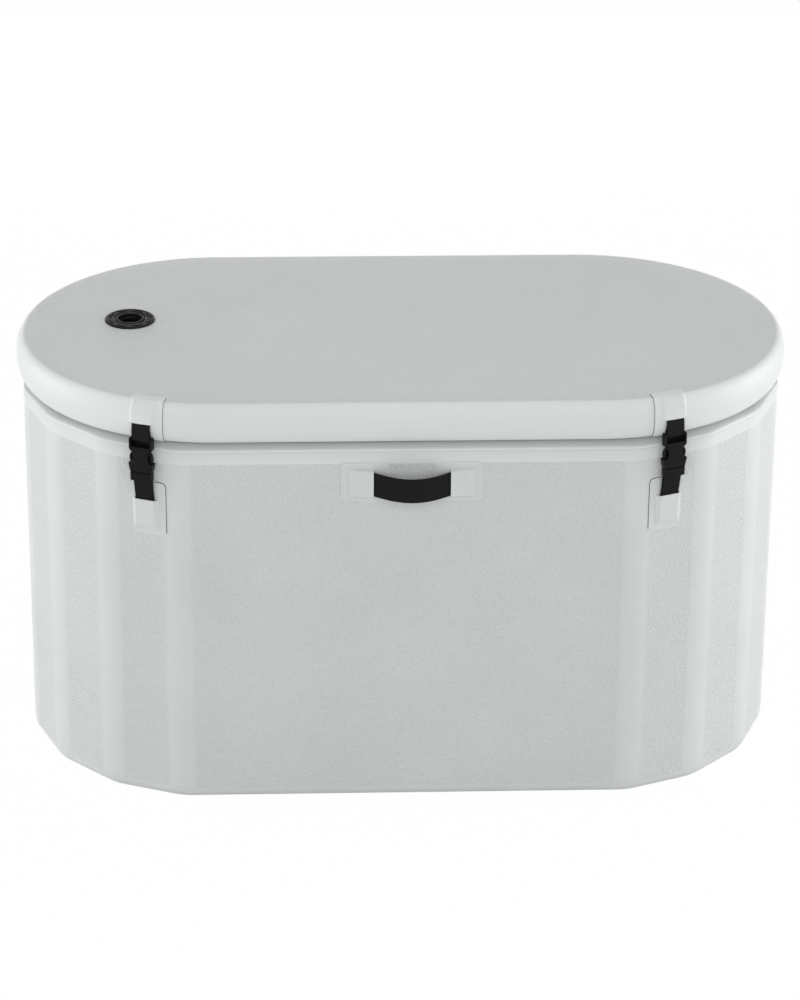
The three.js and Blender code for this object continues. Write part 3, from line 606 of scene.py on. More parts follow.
def lid_stations():
    """Stations round the lid's plan: a half circle about each end, joined by straight sides."""
    bends = max(fewest_bends, round(math.pi * lid_radius / lid_step))
    sides = max(fewest_steps, round(2 * end_offset / lid_step))
    turn = np.linspace(-quarter, quarter, bends, endpoint=False)
    run = np.linspace(end_offset, -end_offset, sides, endpoint=False)
    across = np.concatenate([np.full(bends, end_offset), run, np.full(bends, -end_offset), -run])
    angle = np.concatenate([turn, np.full(sides, quarter), turn + math.pi, np.full(sides, 3 * quarter)])
    outward = np.stack([np.cos(angle), np.sin(angle)], -1)
    return np.stack([across, np.zeros_like(across)], -1), outward, np.zeros_like(across), lid_radius


def band_curve(inset):
    """The band's section: half an ellipse, this far in from its outer face."""
    out = lid_bulge * np.cos(band_angle) - inset * np.cos(band_angle) - lid_bulge
    return np.stack([out, lid_middle + (lid_half - inset) * np.sin(band_angle) - band_drop(band_angle)], -1)


lid_round = lid_stations()
top_radius = lid_radius - lid_bulge
border_inset = np.linspace(0, border_width, border_rows)[1:-1]
field_inset = np.linspace(border_width, top_radius, field_rows)
top_inset = np.concatenate([[0.0, cloth_gap], border_inset, field_inset])
top_profile = np.stack([-lid_bulge - top_inset, lid_top - top_drop(top_inset)], -1)
top_points = carried(lid_round, top_profile)
top_faces = grid_faces(top_points)
top_points, top_faces, _ = pierced(
    top_points.reshape(-1, 3), top_faces, lid_valve_place, upward, valve_hole_radius)
top_cut = (2 * top_radius, 2 * (top_radius + end_offset))
lid_cut = stretched(top_cut, "lid_core", area=top_cut[0] * top_cut[1] - (4 - math.pi) * top_radius ** 2)
cloth_piece("lid_top_skin", top_points, top_faces, white_cloth, "lid", "lid_top_sheet", lid_cut,
            values={"grain": np.ones(len(top_points))}, shell=cloth_thickness)
bottom_edge = -lid_bulge - cloth_gap
bottom_profile = np.array([[bottom_edge, lid_foot], [bottom_edge, lid_foot + cloth_thickness]])
bottom_points = carried(lid_round, bottom_profile)
cloth_piece("lid_bottom_skin", bottom_points, capped(bottom_points), white_cloth, "lid",
            "lid_bottom_sheet", lid_cut)
band_angle = np.linspace(-quarter, quarter, band_rows)
band_outer = band_curve(0.0)
band_points = carried(lid_round, np.concatenate([band_outer, band_curve(cloth_thickness)[::-1]]))
lid_girth = around(carried(lid_round, np.zeros((1, 2)))[0])
cloth_piece(
    "lid_edge_band", band_points, grid_faces(band_points, round_rows=True), white_tape, "lid",
    "lid_side_band",
    stretched((path_length(band_outer), lid_girth), "lid_core"))

# Air valves
# Two moulded valves, in the lid and the wall: a flange screwed down on a body with a deep round well.
# A plunger stands in the well on a spring that shortens with it, and ribs on the flange hold a spanner.
valve_barrel, valve_flange, valve_well = 0.036, 0.050, 0.024
valve_depth, valve_floor, flange_rise = 0.036, 0.003, 0.0045
valve_lining = cloth_thickness + cloth_gap
rib_count, rib_share, rib_start, rib_steps = 8, 0.56, 0.22, 12
rib_radius, rib_width, rib_rise, rib_root, rib_fillet = 0.0412, 0.0032, 0.0009, 0.0008, 0.0006
spring_radius, spring_wire, spring_turns = 0.010, 0.0016, 5
steps_in_turn, wire_steps, round_steps = 40, 10, 3
button_below, button_height, button_radius, button_travel = 0.010, 0.003, 0.016, 0.006
drawn_scale, wire_roughness, drawn_roughness = 900.0, 0.25, 0.2


def joined(*parts):
    """Several shells as one list of points and one of faces."""
    points, faces, count = [], [], 0
    for part_points, part_faces in parts:
        flat = np.reshape(part_points, (-1, 3))
        rows = part_faces if isinstance(part_faces, list) else part_faces.tolist()
        faces += [[corner + count for corner in row] for row in rows]
        points.append(flat)
        count += len(flat)
    return np.concatenate(points), faces


def rectangle(left, low, right, high):
    return [(left, low), (right, low), (right, high), (left, high)]


def ring_rib(place, axis, start):
    """One raised rib on the flange: a small rounded section swept through a part of a turn."""
    angle = start + np.linspace(0, full_turn / rib_count * rib_share, rib_steps)
    near, far = rib_radius - rib_width / 2, rib_radius + rib_width / 2
    corners = rectangle(near, flange_rise - rib_root, far, flange_rise + rib_rise)
    section = filleted(corners, rib_fillet, round_steps)
    points = place + section[None, :, :1] * spokes(axis, angle)[:, None] + section[None, :, 1:] * axis
    return points, capped(points)


def helix_tube(place, axis, foot, top):
    """A wire wound in a helix: circles square to the wire about points that climb as they turn."""
    share = np.linspace(0, 1, steps_in_turn * spring_turns + 1)
    ray = spokes(axis, full_turn * spring_turns * share)
    middle = place + spring_radius * ray + (foot + (top - foot) * share)[:, None] * axis
    ahead = np.gradient(middle, axis=0)
    ahead /= np.linalg.norm(ahead, axis=1, keepdims=True)
    aside = np.cross(ahead, ray)
    circle = np.linspace(0, full_turn, wire_steps, endpoint=False)
    ring = np.cos(circle)[None, :, None] * ray[:, None] + np.sin(circle)[None, :, None] * aside[:, None]
    points = middle[:, None] + spring_wire / 2 * ring
    return points, capped(points)


def spring_wire_steel(name):
    """Drawn steel wire: bright, with fine noise in its gloss."""
    material, place = blank(name)
    drawn = place.noise(drawn_scale)
    return dress(material, {
        "Base Color": drawn.between((0.36, 0.37, 0.38, 1.0), (0.55, 0.56, 0.57, 1.0)),
        "Metallic": 1.0,
        "Roughness": wire_roughness + drawn * drawn_roughness,
    })


spring_steel = spring_wire_steel("spring steel")
flange_bore = valve_barrel + cloth_gap
flange_side, flange_slope, flange_fillet = 0.0023, 0.003, 0.0005
channel_outer, channel_inner, channel_slope, channel_depth = 0.0445, 0.0380, 0.0005, 0.0006
channel_floor = flange_rise - channel_depth
flange_profile = filleted([
    (flange_bore, cloth_gap), (valve_flange, cloth_gap), (valve_flange, flange_side),
    (valve_flange - flange_slope, flange_rise), (channel_outer, flange_rise),
    (channel_outer - channel_slope, channel_floor), (channel_inner + channel_slope, channel_floor),
    (channel_inner, flange_rise), (flange_bore, flange_rise)], flange_fillet, round_steps)
stem_hole, body_radius, collar_radius, collar_height = 0.007, 0.030, 0.046, 0.004
barrel_lip, moat_width, moat_level, lip_rise, lip_width = 0.0022, 0.001, 0.0012, 0.0042, 0.004
seat_depth, seat_fall, seat_width, cup_fillet = 0.004, 0.001, 0.0012, 0.0008
lip_outer, cup_inside = valve_well + lip_width, valve_well - seat_width
collar_foot, cup_floor = -valve_lining - collar_height, valve_floor - valve_depth
valve_profile = filleted([
    (stem_hole, -valve_depth), (body_radius, -valve_depth), (body_radius, collar_foot),
    (collar_radius, collar_foot), (collar_radius, -valve_lining), (valve_barrel, -valve_lining),
    (valve_barrel, flange_rise), (valve_barrel - barrel_lip, flange_rise),
    (lip_outer + moat_width, moat_level), (lip_outer, lip_rise), (valve_well, lip_rise),
    (valve_well, -seat_depth), (cup_inside, -seat_depth - seat_fall), (cup_inside, cup_floor),
    (stem_hole, cup_floor)], cup_fillet, round_steps)
core_gap, seal_radius, seal_height, stem_radius = 0.0003, 0.013, 0.003, 0.004
hollow_edge, hollow_floor, hollow_depth, button_fillet = 0.011, 0.009, 0.0012, 0.0006
seal_top = -valve_depth - cloth_gap
seal_foot = seal_top - seal_height
button_foot = -button_below - button_height
hollow_level = -button_below - hollow_depth
plunger_profile = filleted([
    (core_gap, seal_foot), (seal_radius, seal_foot), (seal_radius, seal_top), (stem_radius, seal_top),
    (stem_radius, button_foot), (button_radius, button_foot), (button_radius, -button_below),
    (hollow_edge, -button_below), (hollow_floor, hollow_level),
    (core_gap, hollow_level)], button_fillet, round_steps)
spring_foot = cup_floor + cloth_gap + spring_wire / 2
spring_top = button_foot - cloth_gap - spring_wire / 2
for valve, body, place, axis in (("lid_valve", "lid", lid_valve_place, upward),
                                 ("wall_valve", "tub", wall_valve_place, rearward)):
    ribs = [ring_rib(place, axis, full_turn * (rib + rib_start) / rib_count) for rib in range(rib_count)]
    ring = joined(turned(flange_profile, place, axis), *ribs)
    plastic_piece(f"{valve}_ring", ring, body, f"{valve}_flange")
    plastic_piece(f"{valve}_cup", turned(valve_profile, place, axis), body, f"{valve}_body")
    plunger = f"{valve}_plunger"
    plastic_piece(f"{valve}_button", turned(plunger_profile, place, axis), plunger, plunger)
    coil = piece(f"{valve}_coil", *helix_tube(place, axis, spring_foot, spring_top), spring_steel, body,
                 "spring_steel", f"{valve}_spring")
    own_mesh(coil)

# Straps: patches, webbing and side-release buckles
# A patch wrapped over the lid's edge holds a length of polyester webbing under a ribbed cover.
# It hangs from the lid to a moulded buckle, whose plug is held by a second length in a pocket on the wall.
panel_length = tub_width * math.tan(panel_turn / 2)
strap_from_corner = 0.063
buckle_low = float(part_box("front_right_buckle_plug")[0].z)
buckle_back, buckle_front = 0.0102, 0.0252
bar_out = (buckle_back + buckle_front) / 2
plug_bar_out = bar_out - 0.0034
socket_bar_radius, plug_bar_radius, bar_chamfer, bar_clearance = 0.0030, 0.0025, 0.0006, 0.0003
socket_bar_height, plug_bar_height = buckle_low + 0.087, buckle_low + 0.006
webbing_width, webbing_thickness, layer_gap = 0.038, 0.0019, 0.0002
patch_outer, patch_inner, patch_corner, patch_edge = 0.0290, 0.0420, 0.011, 0.0005
# The first width is that of the pressed seam lines and of the painted shade line along a patch's inner edge;
# the others set how far down and how far in the painted shade runs along the top edge.
seam_width, line_shade_depth, line_shade_from = 0.0007, 0.010, 0.020
least_corner, patch_steps, edge_steps, face_columns = 0.001, 8, 5, 9
tiny_length, mitre_limit, sine_places = 1e-9, 0.5, 6
strap_section = (webbing_width, webbing_thickness)
patch_face = cloth_gap + cloth_thickness
webbing_level = patch_face + cloth_gap + webbing_thickness / 2
pocket_mouth = buckle_low - 0.045
patch_foot = pocket_mouth - 0.076
patch_top = patch_foot + 0.113
sleeve_thickness = 0.0011
wall_pocket_half, wall_pocket_rises = 0.027, (0.0040, 0.0085)
pocket_foot = pocket_mouth - 0.065
strap_facings = {"front_right": panel_turn, "front_left": -panel_turn,
                 "rear_right": math.pi - panel_turn, "rear_left": panel_turn - math.pi}


class PanelFrame:
    """The flat frame of a wall panel: across, outward and height, from a point along the panel's middle."""

    def __init__(self, facing, shift):
        side = round(math.sin(facing), sine_places)
        end = np.array([np.sign(side) * end_offset, 0.0, 0.0])
        self.across = np.array([math.cos(facing), math.sin(facing), 0.0])
        self.outward = np.array([math.sin(facing), -math.cos(facing), 0.0])
        self.origin = end + tub_width / 2 * self.outward + shift * self.across

    def at(self, across, outward, height):
        """World points of local ones, as whole arrays."""
        across, outward, height = np.broadcast_arrays(across, outward, height)
        return (self.origin + across[..., None] * self.across + outward[..., None] * self.outward
                + height[..., None] * upward)


def inset_outline(outline, inset):
    """An outline drawn inward by a length along the mean normal of each corner."""
    ahead = np.roll(outline, -1, 0) - outline
    ahead /= np.maximum(np.linalg.norm(ahead, axis=1, keepdims=True), tiny_length)
    normal = np.stack([-ahead[:, 1], ahead[:, 0]], -1)
    mean = normal + np.roll(normal, 1, 0)
    mean /= np.maximum((mean * normal).sum(1, keepdims=True), mitre_limit)
    return outline + inset * mean


def rounded_patch(left, low, right, high):
    """A rectangle with round corners, as a function of how far it is drawn inward."""
    def outline_at(inset):
        corners = rectangle(left + inset, low + inset, right - inset, high - inset)
        return filleted(corners, max(patch_corner - inset, least_corner), patch_steps)
    return outline_at


def slab(frame_at, outline_at, near, far, edge, marks=()):
    """A plate of an outline of (across, height) points, with both its edges rounded.

    Marks are (inset, sunk) steps of the far face, which press lines into it along the outline."""
    bend = np.linspace(0, quarter, edge_steps)
    rows = [(edge * (1 - math.sin(a)), near + edge * (1 - math.cos(a))) for a in bend]
    rows += [(edge * (1 - math.cos(a)), far - edge * (1 - math.sin(a))) for a in bend]
    rows += [(inset, far - sunk) for inset, sunk in marks]
    loops = [outline_at(inset) for inset, _ in rows]
    points = np.stack([frame_at(loop[:, 0], outward, loop[:, 1]) for loop, (_, outward) in zip(loops, rows)])
    return points, capped(points)


def flipped(corners, side):
    """An outline as it is on the right, or its mirror image on the left."""
    return corners if side > 0 else [(-across, height) for across, height in reversed(corners)]


def mirrored(half):
    """A half outline, from its foot to its head on the right, completed on the left."""
    return [*half, *flipped(half, -1)]


def smooth_path(corners, steps=10):
    """A path through corners as a Catmull-Rom curve, as whole arrays."""
    corners = np.array(corners, float)
    padded = np.concatenate([2 * corners[:1] - corners[1:2], corners, 2 * corners[-1:] - corners[-2:-1]])
    a, b, c, d = padded[:-3, None], padded[1:-2, None], padded[2:-1, None], padded[3:, None]
    t = np.linspace(0, 1, steps, endpoint=False)[None, :, None]
    square, cube = a - 2.5 * b + 2 * c - d / 2, 1.5 * (b - c) + (d - a) / 2
    curve = b + t * (c - a) / 2 + t ** 2 * square + t ** 3 * cube
    return np.concatenate([curve.reshape(-1, corners.shape[1]), corners[-1:]])


def ribbon(path, across, width, thickness):
    """Webbing along a path: a flat section with round selvedges, carried along it.

    Gives points, faces and a UV map of metres across and along the webbing."""
    ahead = np.gradient(path, axis=0)
    ahead /= np.linalg.norm(ahead, axis=1, keepdims=True)
    normal = np.cross(across, ahead)
    half, bulge = width / 2, thickness / 2
    edge = np.linspace(-quarter, quarter, edge_steps)
    right = np.stack([half - bulge + bulge * np.cos(edge), bulge * np.sin(edge)], -1)
    flat = np.linspace(half - bulge, bulge - half, face_columns)[1:-1]
    top = np.stack([flat, np.full_like(flat, bulge)], -1)
    section = np.concatenate([right, top, -right, -top])
    points = path[:, None] + section[None, :, :1] * across + section[None, :, 1:] * normal[:, None]
    along = np.concatenate([[0], np.cumsum(np.linalg.norm(np.diff(path, axis=0), axis=1))])
    weave = np.stack(np.broadcast_arrays(section[None, :, 0], along[:, None]), -1)
    return points, capped(points), weave


weft_pitch, warp_pitch, fuzz_scale = 0.0021, 0.0026, 700.0
weave_share, fuzz_share, weave_depth, webbing_gloss = 0.6, 0.4, 0.00025, 0.06
webbing_roughness, fuzz_roughness = 0.62, 0.2


def woven_webbing(name):
    """Black polyester webbing: short weft ridges that alternate from one warp to the next."""
    material, place = blank(name)
    weave = place.node("ShaderNodeUVMap", {}, uv_map="weave")
    split, along = (weave.node("ShaderNodeSeparateXYZ", {0: weave}, output=part) for part in "XY")
    ribs = split.maths("SINE", along * (full_turn / weft_pitch))
    warps = split.maths("SINE", split * (full_turn / warp_pitch))
    cloth = ribs * warps * 0.5 + 0.5
    fuzz = place.noise(fuzz_scale, detail=3.0)
    tone = cloth * weave_share + fuzz * fuzz_share
    return dress(material, {
        "Base Color": tone.between((0.0075, 0.0075, 0.0082, 1.0), (0.0165, 0.0165, 0.0180, 1.0)),
        "Roughness": webbing_roughness + fuzz * fuzz_roughness,
        "Normal": (cloth + fuzz * fuzz_share).bump(weave_depth),
        "Specular IOR Level": webbing_gloss,
    })


black_webbing = woven_webbing("black webbing")


def strap_piece(name, path, across, section, body, node):
    """A length of the black webbing along a path."""
    points, faces, weave = ribbon(path, across, *section)
    piece(name, points, faces, black_webbing, body, "black_webbing", node, weave=weave)


def lid_edge(facing, shift, across, angle, rise, lap=0.0):
    """Points on the lid's edge near a strap: the angle runs round its bulge, the lap in over the top."""
    turn = facing - quarter + (across + shift) / lid_radius
    reach = lid_radius - lid_bulge + (lid_bulge + rise) * np.cos(angle) - lap
    drop = np.where(np.asarray(lap) > 0, top_drop(np.asarray(lap)), band_drop(np.asarray(angle)))
    height = lid_middle + (lid_half + rise) * np.sin(angle) - drop
    end = math.copysign(end_offset, math.sin(facing))
    reach, height, turn = np.broadcast_arrays(reach, height, turn)
    return np.stack([end + reach * np.cos(turn), reach * np.sin(turn), height], -1)


wrap_columns, wrap_rows, lap_rows, wrap_from, wrap_length, wrap_spacing = 41, 40, 8, -1.25, 0.095, 0.5
front_wrap, rear_wrap, front_lap = quarter, 0.95, 0.012
front_cover, rear_cover, cover_from, cover_half, cover_rows = 1.5, 0.85, -0.05, 0.025, 150
cover_weld, cover_room, cover_level, cover_rise = 0.001, 0.0006, 0.0006, 0.0034
cover_fade, rib_pitch, cover_rib = 0.05, 0.0030, 0.0004


def lid_patch(facing, shift, inner, crown, lap_length):
    """Base of the lid patch: a sheet wrapped round the lid's edge from the underside up to the crown's angle.

    A lap carries it on over the crease, and a dark line of painted shade, in the grey of a cut edge, runs
    along its edge nearer the tub's middle."""
    share = np.linspace(-1, 1, wrap_columns)
    share = np.sign(share) * np.abs(share) ** wrap_spacing
    across = inner * np.where(share > 0, share * patch_inner, share * patch_outer)[::int(inner)]
    angle = np.concatenate([np.linspace(wrap_from, crown, wrap_rows), np.full(lap_rows, crown)])[:, None]
    lap = np.concatenate([np.zeros(wrap_rows), np.linspace(0, 1, lap_rows + 1)[1:] * lap_length])[:, None]
    points = lid_edge(facing, shift, across[None], angle, patch_face, lap)
    # A dark line of painted shade along the edge nearer the tub's middle.
    line_shade = np.broadcast_to(across * inner > patch_inner - seam_width, points.shape[:2])
    return points, grid_faces(points, round_columns=False), line_shade.astype(float)


def lid_cover(facing, shift, crown):
    """Cover of the lid patch: a ribbed tent over the webbing, welded down at its sides and top."""
    across = np.linspace(-cover_half, cover_half, wrap_columns)[None]
    angle = np.linspace(cover_from, crown, cover_rows)[:, None]
    tent = eased(np.abs(across), cover_half - cover_weld, webbing_width / 2 + cover_room)
    fade = eased(angle, crown - cover_fade, crown / 2)
    ribs = cover_rib * np.sin(full_turn * angle * lid_half / rib_pitch) * tent
    rise = patch_face + cover_level + cover_rise * tent * fade + ribs
    points = lid_edge(facing, shift, across, angle, rise)
    return points, grid_faces(points, round_columns=False)


def sheet_size(points):
    """The mean width and length of a grid of points, measured along its surface."""
    width = np.linalg.norm(np.diff(points, axis=1), axis=2).sum(1).mean()
    length = np.linalg.norm(np.diff(points, axis=0), axis=2).sum(0).mean()
    return float(width), float(length)


pocket_columns, pocket_rows, pocket_level = 41, 60, 0.0005
pocket_weld, pocket_room, end_weld, end_slope = 0.001, 0.0004, 0.0005, 0.012


def pocket(places_of, half_width, foot, mouth, inside_half, rises):
    """A pocket on a patch: a sheet welded down at its sides and one end, raised over the webbing."""
    end_rise, mouth_rise = rises
    aside = np.linspace(-half_width, half_width, pocket_columns)[None]
    run = np.linspace(0, 1, pocket_rows)[:, None]
    along = foot + (mouth - foot) * run
    tent = eased(np.abs(aside), half_width - pocket_weld, inside_half + pocket_room)
    close = eased(np.abs(along - foot), end_weld, end_slope)
    outward = patch_face + pocket_level + (end_rise + (mouth_rise - end_rise) * run ** 2) * tent * close
    places = places_of(aside, outward, along)
    return places, grid_faces(places, round_columns=False)


# Outlines of the buckle, as (across, height over its foot)
socket_half = [
    (0.0217, 0.0186), (0.0250, 0.0350), (0.0250, 0.0375), (0.0190, 0.0380), (0.0152, 0.0420),
    (0.0152, 0.0560), (0.0190, 0.0610), (0.0235, 0.0655), (0.0235, 0.0705)]
socket_roof_half = [(0.0165, 0.0614), (0.0200, 0.0630), (0.0230, 0.0660), (0.0230, 0.0700)]
rail_half = [(0.0190, 0.0190), (0.0214, 0.0190), (0.0246, 0.0350), (0.0246, 0.0372), (0.0222, 0.0372)]
ear_half = [(0.0193, 0.0640), (0.0235, 0.0655), (0.0235, 0.0865), (0.0212, 0.0900), (0.0193, 0.0900)]
slot_outline = rectangle(-0.0198, 0.0660, 0.0198, 0.0850)
plug_half = [(0.0212, 0.0002), (0.0217, 0.0172)]
lip_outline = rectangle(-0.0206, 0.0004, 0.0206, 0.0034)
cheek_outline = rectangle(0.0192, 0.0004, 0.0212, 0.0180)
plug_roof_outline = rectangle(-0.0200, 0.0144, 0.0200, 0.0181)
tongue_half = [(0.004, 0.0165), (0.004, 0.0530), (0.0022, 0.0560)]
arm_half = [
    (0.0106, 0.0186), (0.0144, 0.0186), (0.0171, 0.0376), (0.0226, 0.0390), (0.0243, 0.0470),
    (0.0226, 0.0545), (0.0180, 0.0600), (0.0154, 0.0600), (0.0184, 0.0540), (0.0197, 0.0470),
    (0.0178, 0.0420), (0.0133, 0.0379)]
socket_plate, plug_plate, arm_reach, bar_steps = 0.0026, 0.0024, 0.004, 24

# Plates of the buckle, each with its outline, corner cut, near face, far face and edge radius
socket_plates = [
    (mirrored(socket_half), 0.0022, buckle_front - socket_plate, buckle_front, 0.0010),
    (mirrored(socket_half), 0.0022, buckle_back, buckle_back + socket_plate, 0.0010),
    (slot_outline, 0.0008, buckle_back + 0.0002, buckle_back + 0.0018, 0.0005),
    (mirrored(socket_roof_half), 0.001, buckle_back + 0.001, buckle_front - 0.0005, 0.0005)]
plug_plates = [
    (mirrored(plug_half), 0.0016, buckle_front - plug_plate, buckle_front, 0.0010),
    (lip_outline, 0.0008, buckle_front - 0.0010, buckle_front + 0.0008, 0.0007),
    (plug_roof_outline, 0.0006, buckle_back + 0.0005, buckle_front - 0.0045, 0.0004),
    (mirrored(tongue_half), 0.001, bar_out - 0.003, bar_out + 0.003, 0.0008)]
arm_plates = []
for side in (1, -1):
    socket_plates += [
        (flipped(rail_half, side), 0.001, buckle_back + 0.0006, buckle_front - 0.0006, 0.0004),
        (flipped(ear_half, side), 0.001, buckle_back, buckle_front, 0.0011)]
    plug_plates.append((flipped(cheek_outline, side), 0.0006, buckle_back, buckle_front - 0.0006, 0.0005))
    arm_plates.append((flipped(arm_half, side), 0.0026, bar_out - arm_reach, bar_out + arm_reach, 0.0010))

# Bars of the buckle, each with its radius, half length, distance out and height
socket_bar = (socket_bar_radius, 0.0205, bar_out, socket_bar_height)
plug_bar = (plug_bar_radius, 0.0200, plug_bar_out, plug_bar_height)


def plate(at, corners, cut, near, far, edge):
    """A plate of the buckle from its outline, which is filleted and lifted to the buckle's foot."""
    outline = filleted(corners, cut)
    outline[:, 1] += buckle_low
    return slab(at, lambda inset: inset_outline(outline, inset), near, far, edge)


def cross_bar(at, radius, half_length, outward, height):
    """A round bar across the strap, with chamfered ends inside the cheeks."""
    angle = np.linspace(0, full_turn, bar_steps, endpoint=False)[None]
    across = np.array([-half_length, -half_length, half_length, half_length])[:, None]
    size = np.array([radius - bar_chamfer, radius, radius, radius - bar_chamfer])[:, None]
    points = at(across, outward + size * np.cos(angle), height + size * np.sin(angle))
    return points, capped(points)


def buckle_half(at, plates, bar):
    """One half of the buckle: its plates, and the round bar that the webbing passes."""
    return joined(*(plate(at, *form) for form in plates), cross_bar(at, *bar))


lid_overhang, strap_hang, bar_arc_steps = 0.015, (0.0205, -0.018), 6
leaving_angle, leaving_steps, loop_from = 0.5, 2, 0.15


def upper_strap_path(at):
    """From under the lid cover, over the lid's edge, down round the socket's bar and up behind itself."""
    loop = socket_bar_radius + bar_clearance + webbing_thickness / 2
    bar = np.array([bar_out, socket_bar_height])
    edge_middle = (lid_overhang - lid_bulge, lid_middle)
    edge_radii = (lid_bulge + webbing_level, lid_half + webbing_level)
    edge = arc(edge_middle, edge_radii, leaving_angle, 0.0, leaving_steps)
    tail = bar + np.array([(0.002 - loop, 0.005), (-0.0006, 0.012), (0.0002, 0.018)])
    path = smooth_path([*edge, (strap_hang[0], lid_middle + strap_hang[1]),
                        *arc(bar, (loop, loop), loop_from, -math.pi, bar_arc_steps), *tail])
    return at(0.0, path[:, 0], path[:, 1])


def lower_strap_path(at):
    """From the pocket up behind the plug's bar, round it and back down in front of itself to the pocket."""
    loop = plug_bar_radius + bar_clearance + webbing_thickness / 2
    layer = webbing_thickness + layer_gap
    mouth, foot = np.array([webbing_level, pocket_mouth]), np.array([plug_bar_out, buckle_low])
    rising = mouth + np.array([(0.0, -0.045), (0.0003, -0.020), (0.0012, 0.0), (0.005, 0.020)])
    behind = foot + np.array([(-loop - 0.0015, -0.010), (-loop, 0.0)])
    before = foot + np.array([(loop - 0.0008, 0.0), (loop - 0.0040, -0.010)])
    falling = mouth + np.array([(0.0078, 0.018), (0.0042, 0.0), (layer + 0.0006, -0.020), (layer, -0.043)])
    over = arc((plug_bar_out, plug_bar_height), (loop, loop), math.pi, 0.0, bar_arc_steps)
    path = smooth_path([*rising, *behind, *over, *before, *falling])
    return at(0.0, path[:, 0], path[:, 1])


for strap, facing in strap_facings.items():
    inner = -math.copysign(1, math.sin(2 * facing))
    shift = inner * (panel_length / 2 - strap_from_corner)
    strap_frame = PanelFrame(facing, shift)
    at = strap_frame.at
    front = strap.startswith("front")
    patch_width = patch_outer + patch_inner
    crown, lap_length = (front_wrap, front_lap) if front else (rear_wrap, 0.0)
    points, faces, line_shade = lid_patch(facing, shift, inner, crown, lap_length)
    cloth_piece(f"{strap}_lid_wrap", points, faces, white_tape, "lid", f"{strap}_lid_patch",
                laid((patch_width, wrap_length), "lid_edge_band"),
                values={"line_shade": line_shade}, shell=cloth_thickness)
    points, faces = lid_cover(facing, shift, front_cover if front else rear_cover)
    cloth_piece(f"{strap}_lid_cover", points, faces, white_tape, "lid", f"{strap}_lid_patch",
                laid(sheet_size(points), f"{strap}_lid_wrap"), shell=sleeve_thickness)
    strap_piece(f"{strap}_upper_strap", upper_strap_path(at), strap_frame.across, strap_section, "lid",
                f"{strap}_upper_webbing")
    socket, plug = buckle_half(at, socket_plates, socket_bar), buckle_half(at, plug_plates, plug_bar)
    plastic_piece(f"{strap}_socket", socket, "lid", f"{strap}_buckle_socket")
    plastic_piece(f"{strap}_plug", plug, "tub", f"{strap}_buckle_plug")
    for letter, form in zip("ab", arm_plates):
        arm = f"{strap}_latch_arm_{letter}"
        plastic_piece(f"{arm}_curved", plate(at, *form), arm, arm)
    strap_piece(f"{strap}_lower_strap", lower_strap_path(at), strap_frame.across, strap_section, "tub",
                f"{strap}_lower_webbing")
    left, right = (-patch_outer, patch_inner) if inner > 0 else (-patch_inner, patch_outer)
    outline_at = rounded_patch(left, patch_foot, right, patch_top)
    seam_marks = ((seam_width, 0.0), (2 * seam_width, 0.0))
    points, faces = slab(at, outline_at, cloth_gap, patch_face, patch_edge, seam_marks)
    inward, height = outline_at(0.0)[:, 0] * inner, outline_at(0.0)[:, 1]
    # A dark line of painted shade along the inner edge and the inner part of the top edge, in the grey of a
    # cut edge.
    line_shade = np.zeros(points.shape[:2])
    line_shade[:-1] = (inward > patch_inner - patch_edge) | ((height > patch_top - line_shade_depth) & (inward > line_shade_from))
    cloth_piece(f"{strap}_wall_patch", points, faces, white_cloth, "tub", f"{strap}_tub_patch",
                laid((patch_width, patch_top - patch_foot), "wall_skin"), values={"line_shade": line_shade})
    points, faces = pocket(
        at, wall_pocket_half, pocket_foot, pocket_mouth, webbing_width / 2, wall_pocket_rises)
    cloth_piece(f"{strap}_wall_pocket", points, faces, white_cloth, "tub", f"{strap}_tub_patch",
                laid(sheet_size(points), f"{strap}_wall_patch"), shell=sleeve_thickness)

# Carry handles
# One on each long side: a strip of wide webbing bowed out between two patches, for a hand to pass under.
# Each patch has a pressed double outline and a pocket in which the end of the webbing is welded.
handle_low, handle_high = (corner.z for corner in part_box("front_handle_webbing"))
handle_height = float((handle_low + handle_high) / 2)
handle_span, handle_bow, handle_ease, bow_power = 0.148, 0.037, 0.006, 1.15
handle_width, handle_thickness, handle_tail, handle_steps = 0.050, 0.0024, 0.04, 121
handle_pocket_length, handle_pocket_half, handle_pocket_rises = 0.048, 0.030, (0.0028, 0.0085)
handle_shift = 0.007
handle_patch_from, handle_patch_to = 0.043, 0.137
handle_patch_low, handle_patch_high = handle_height - 0.038, handle_height + 0.043
handle_cut = (handle_patch_to - handle_patch_from, handle_patch_high - handle_patch_low)
press_insets, press_depth = (0.0050, 0.0084), 0.0004
press_steps = ((0.0, 0.0), (0.0004, press_depth), (0.0012, press_depth), (0.0016, 0.0))
pressed_lines = [(inset + step, sunk) for inset in press_insets for step, sunk in press_steps]


def handle_path(at):
    """Flat in both pockets, and bowed between them: bow * (1 - (x / reach) ** 2) ** power."""
    flat = patch_face + cloth_gap + handle_thickness / 2
    reach = handle_span / 2 + handle_tail
    across = np.linspace(-reach, reach, handle_steps)
    share = np.clip(np.abs(across) / (handle_span / 2 + handle_ease), 0, 1)
    return at(across, flat + handle_bow * (1 - share ** 2) ** bow_power, handle_height)


def lying(at, hand):
    """A frame for a pocket that lies along the handle: its mouth faces the middle on either hand."""
    return lambda aside, outward, along: at(hand * along, outward, handle_height - hand * aside)


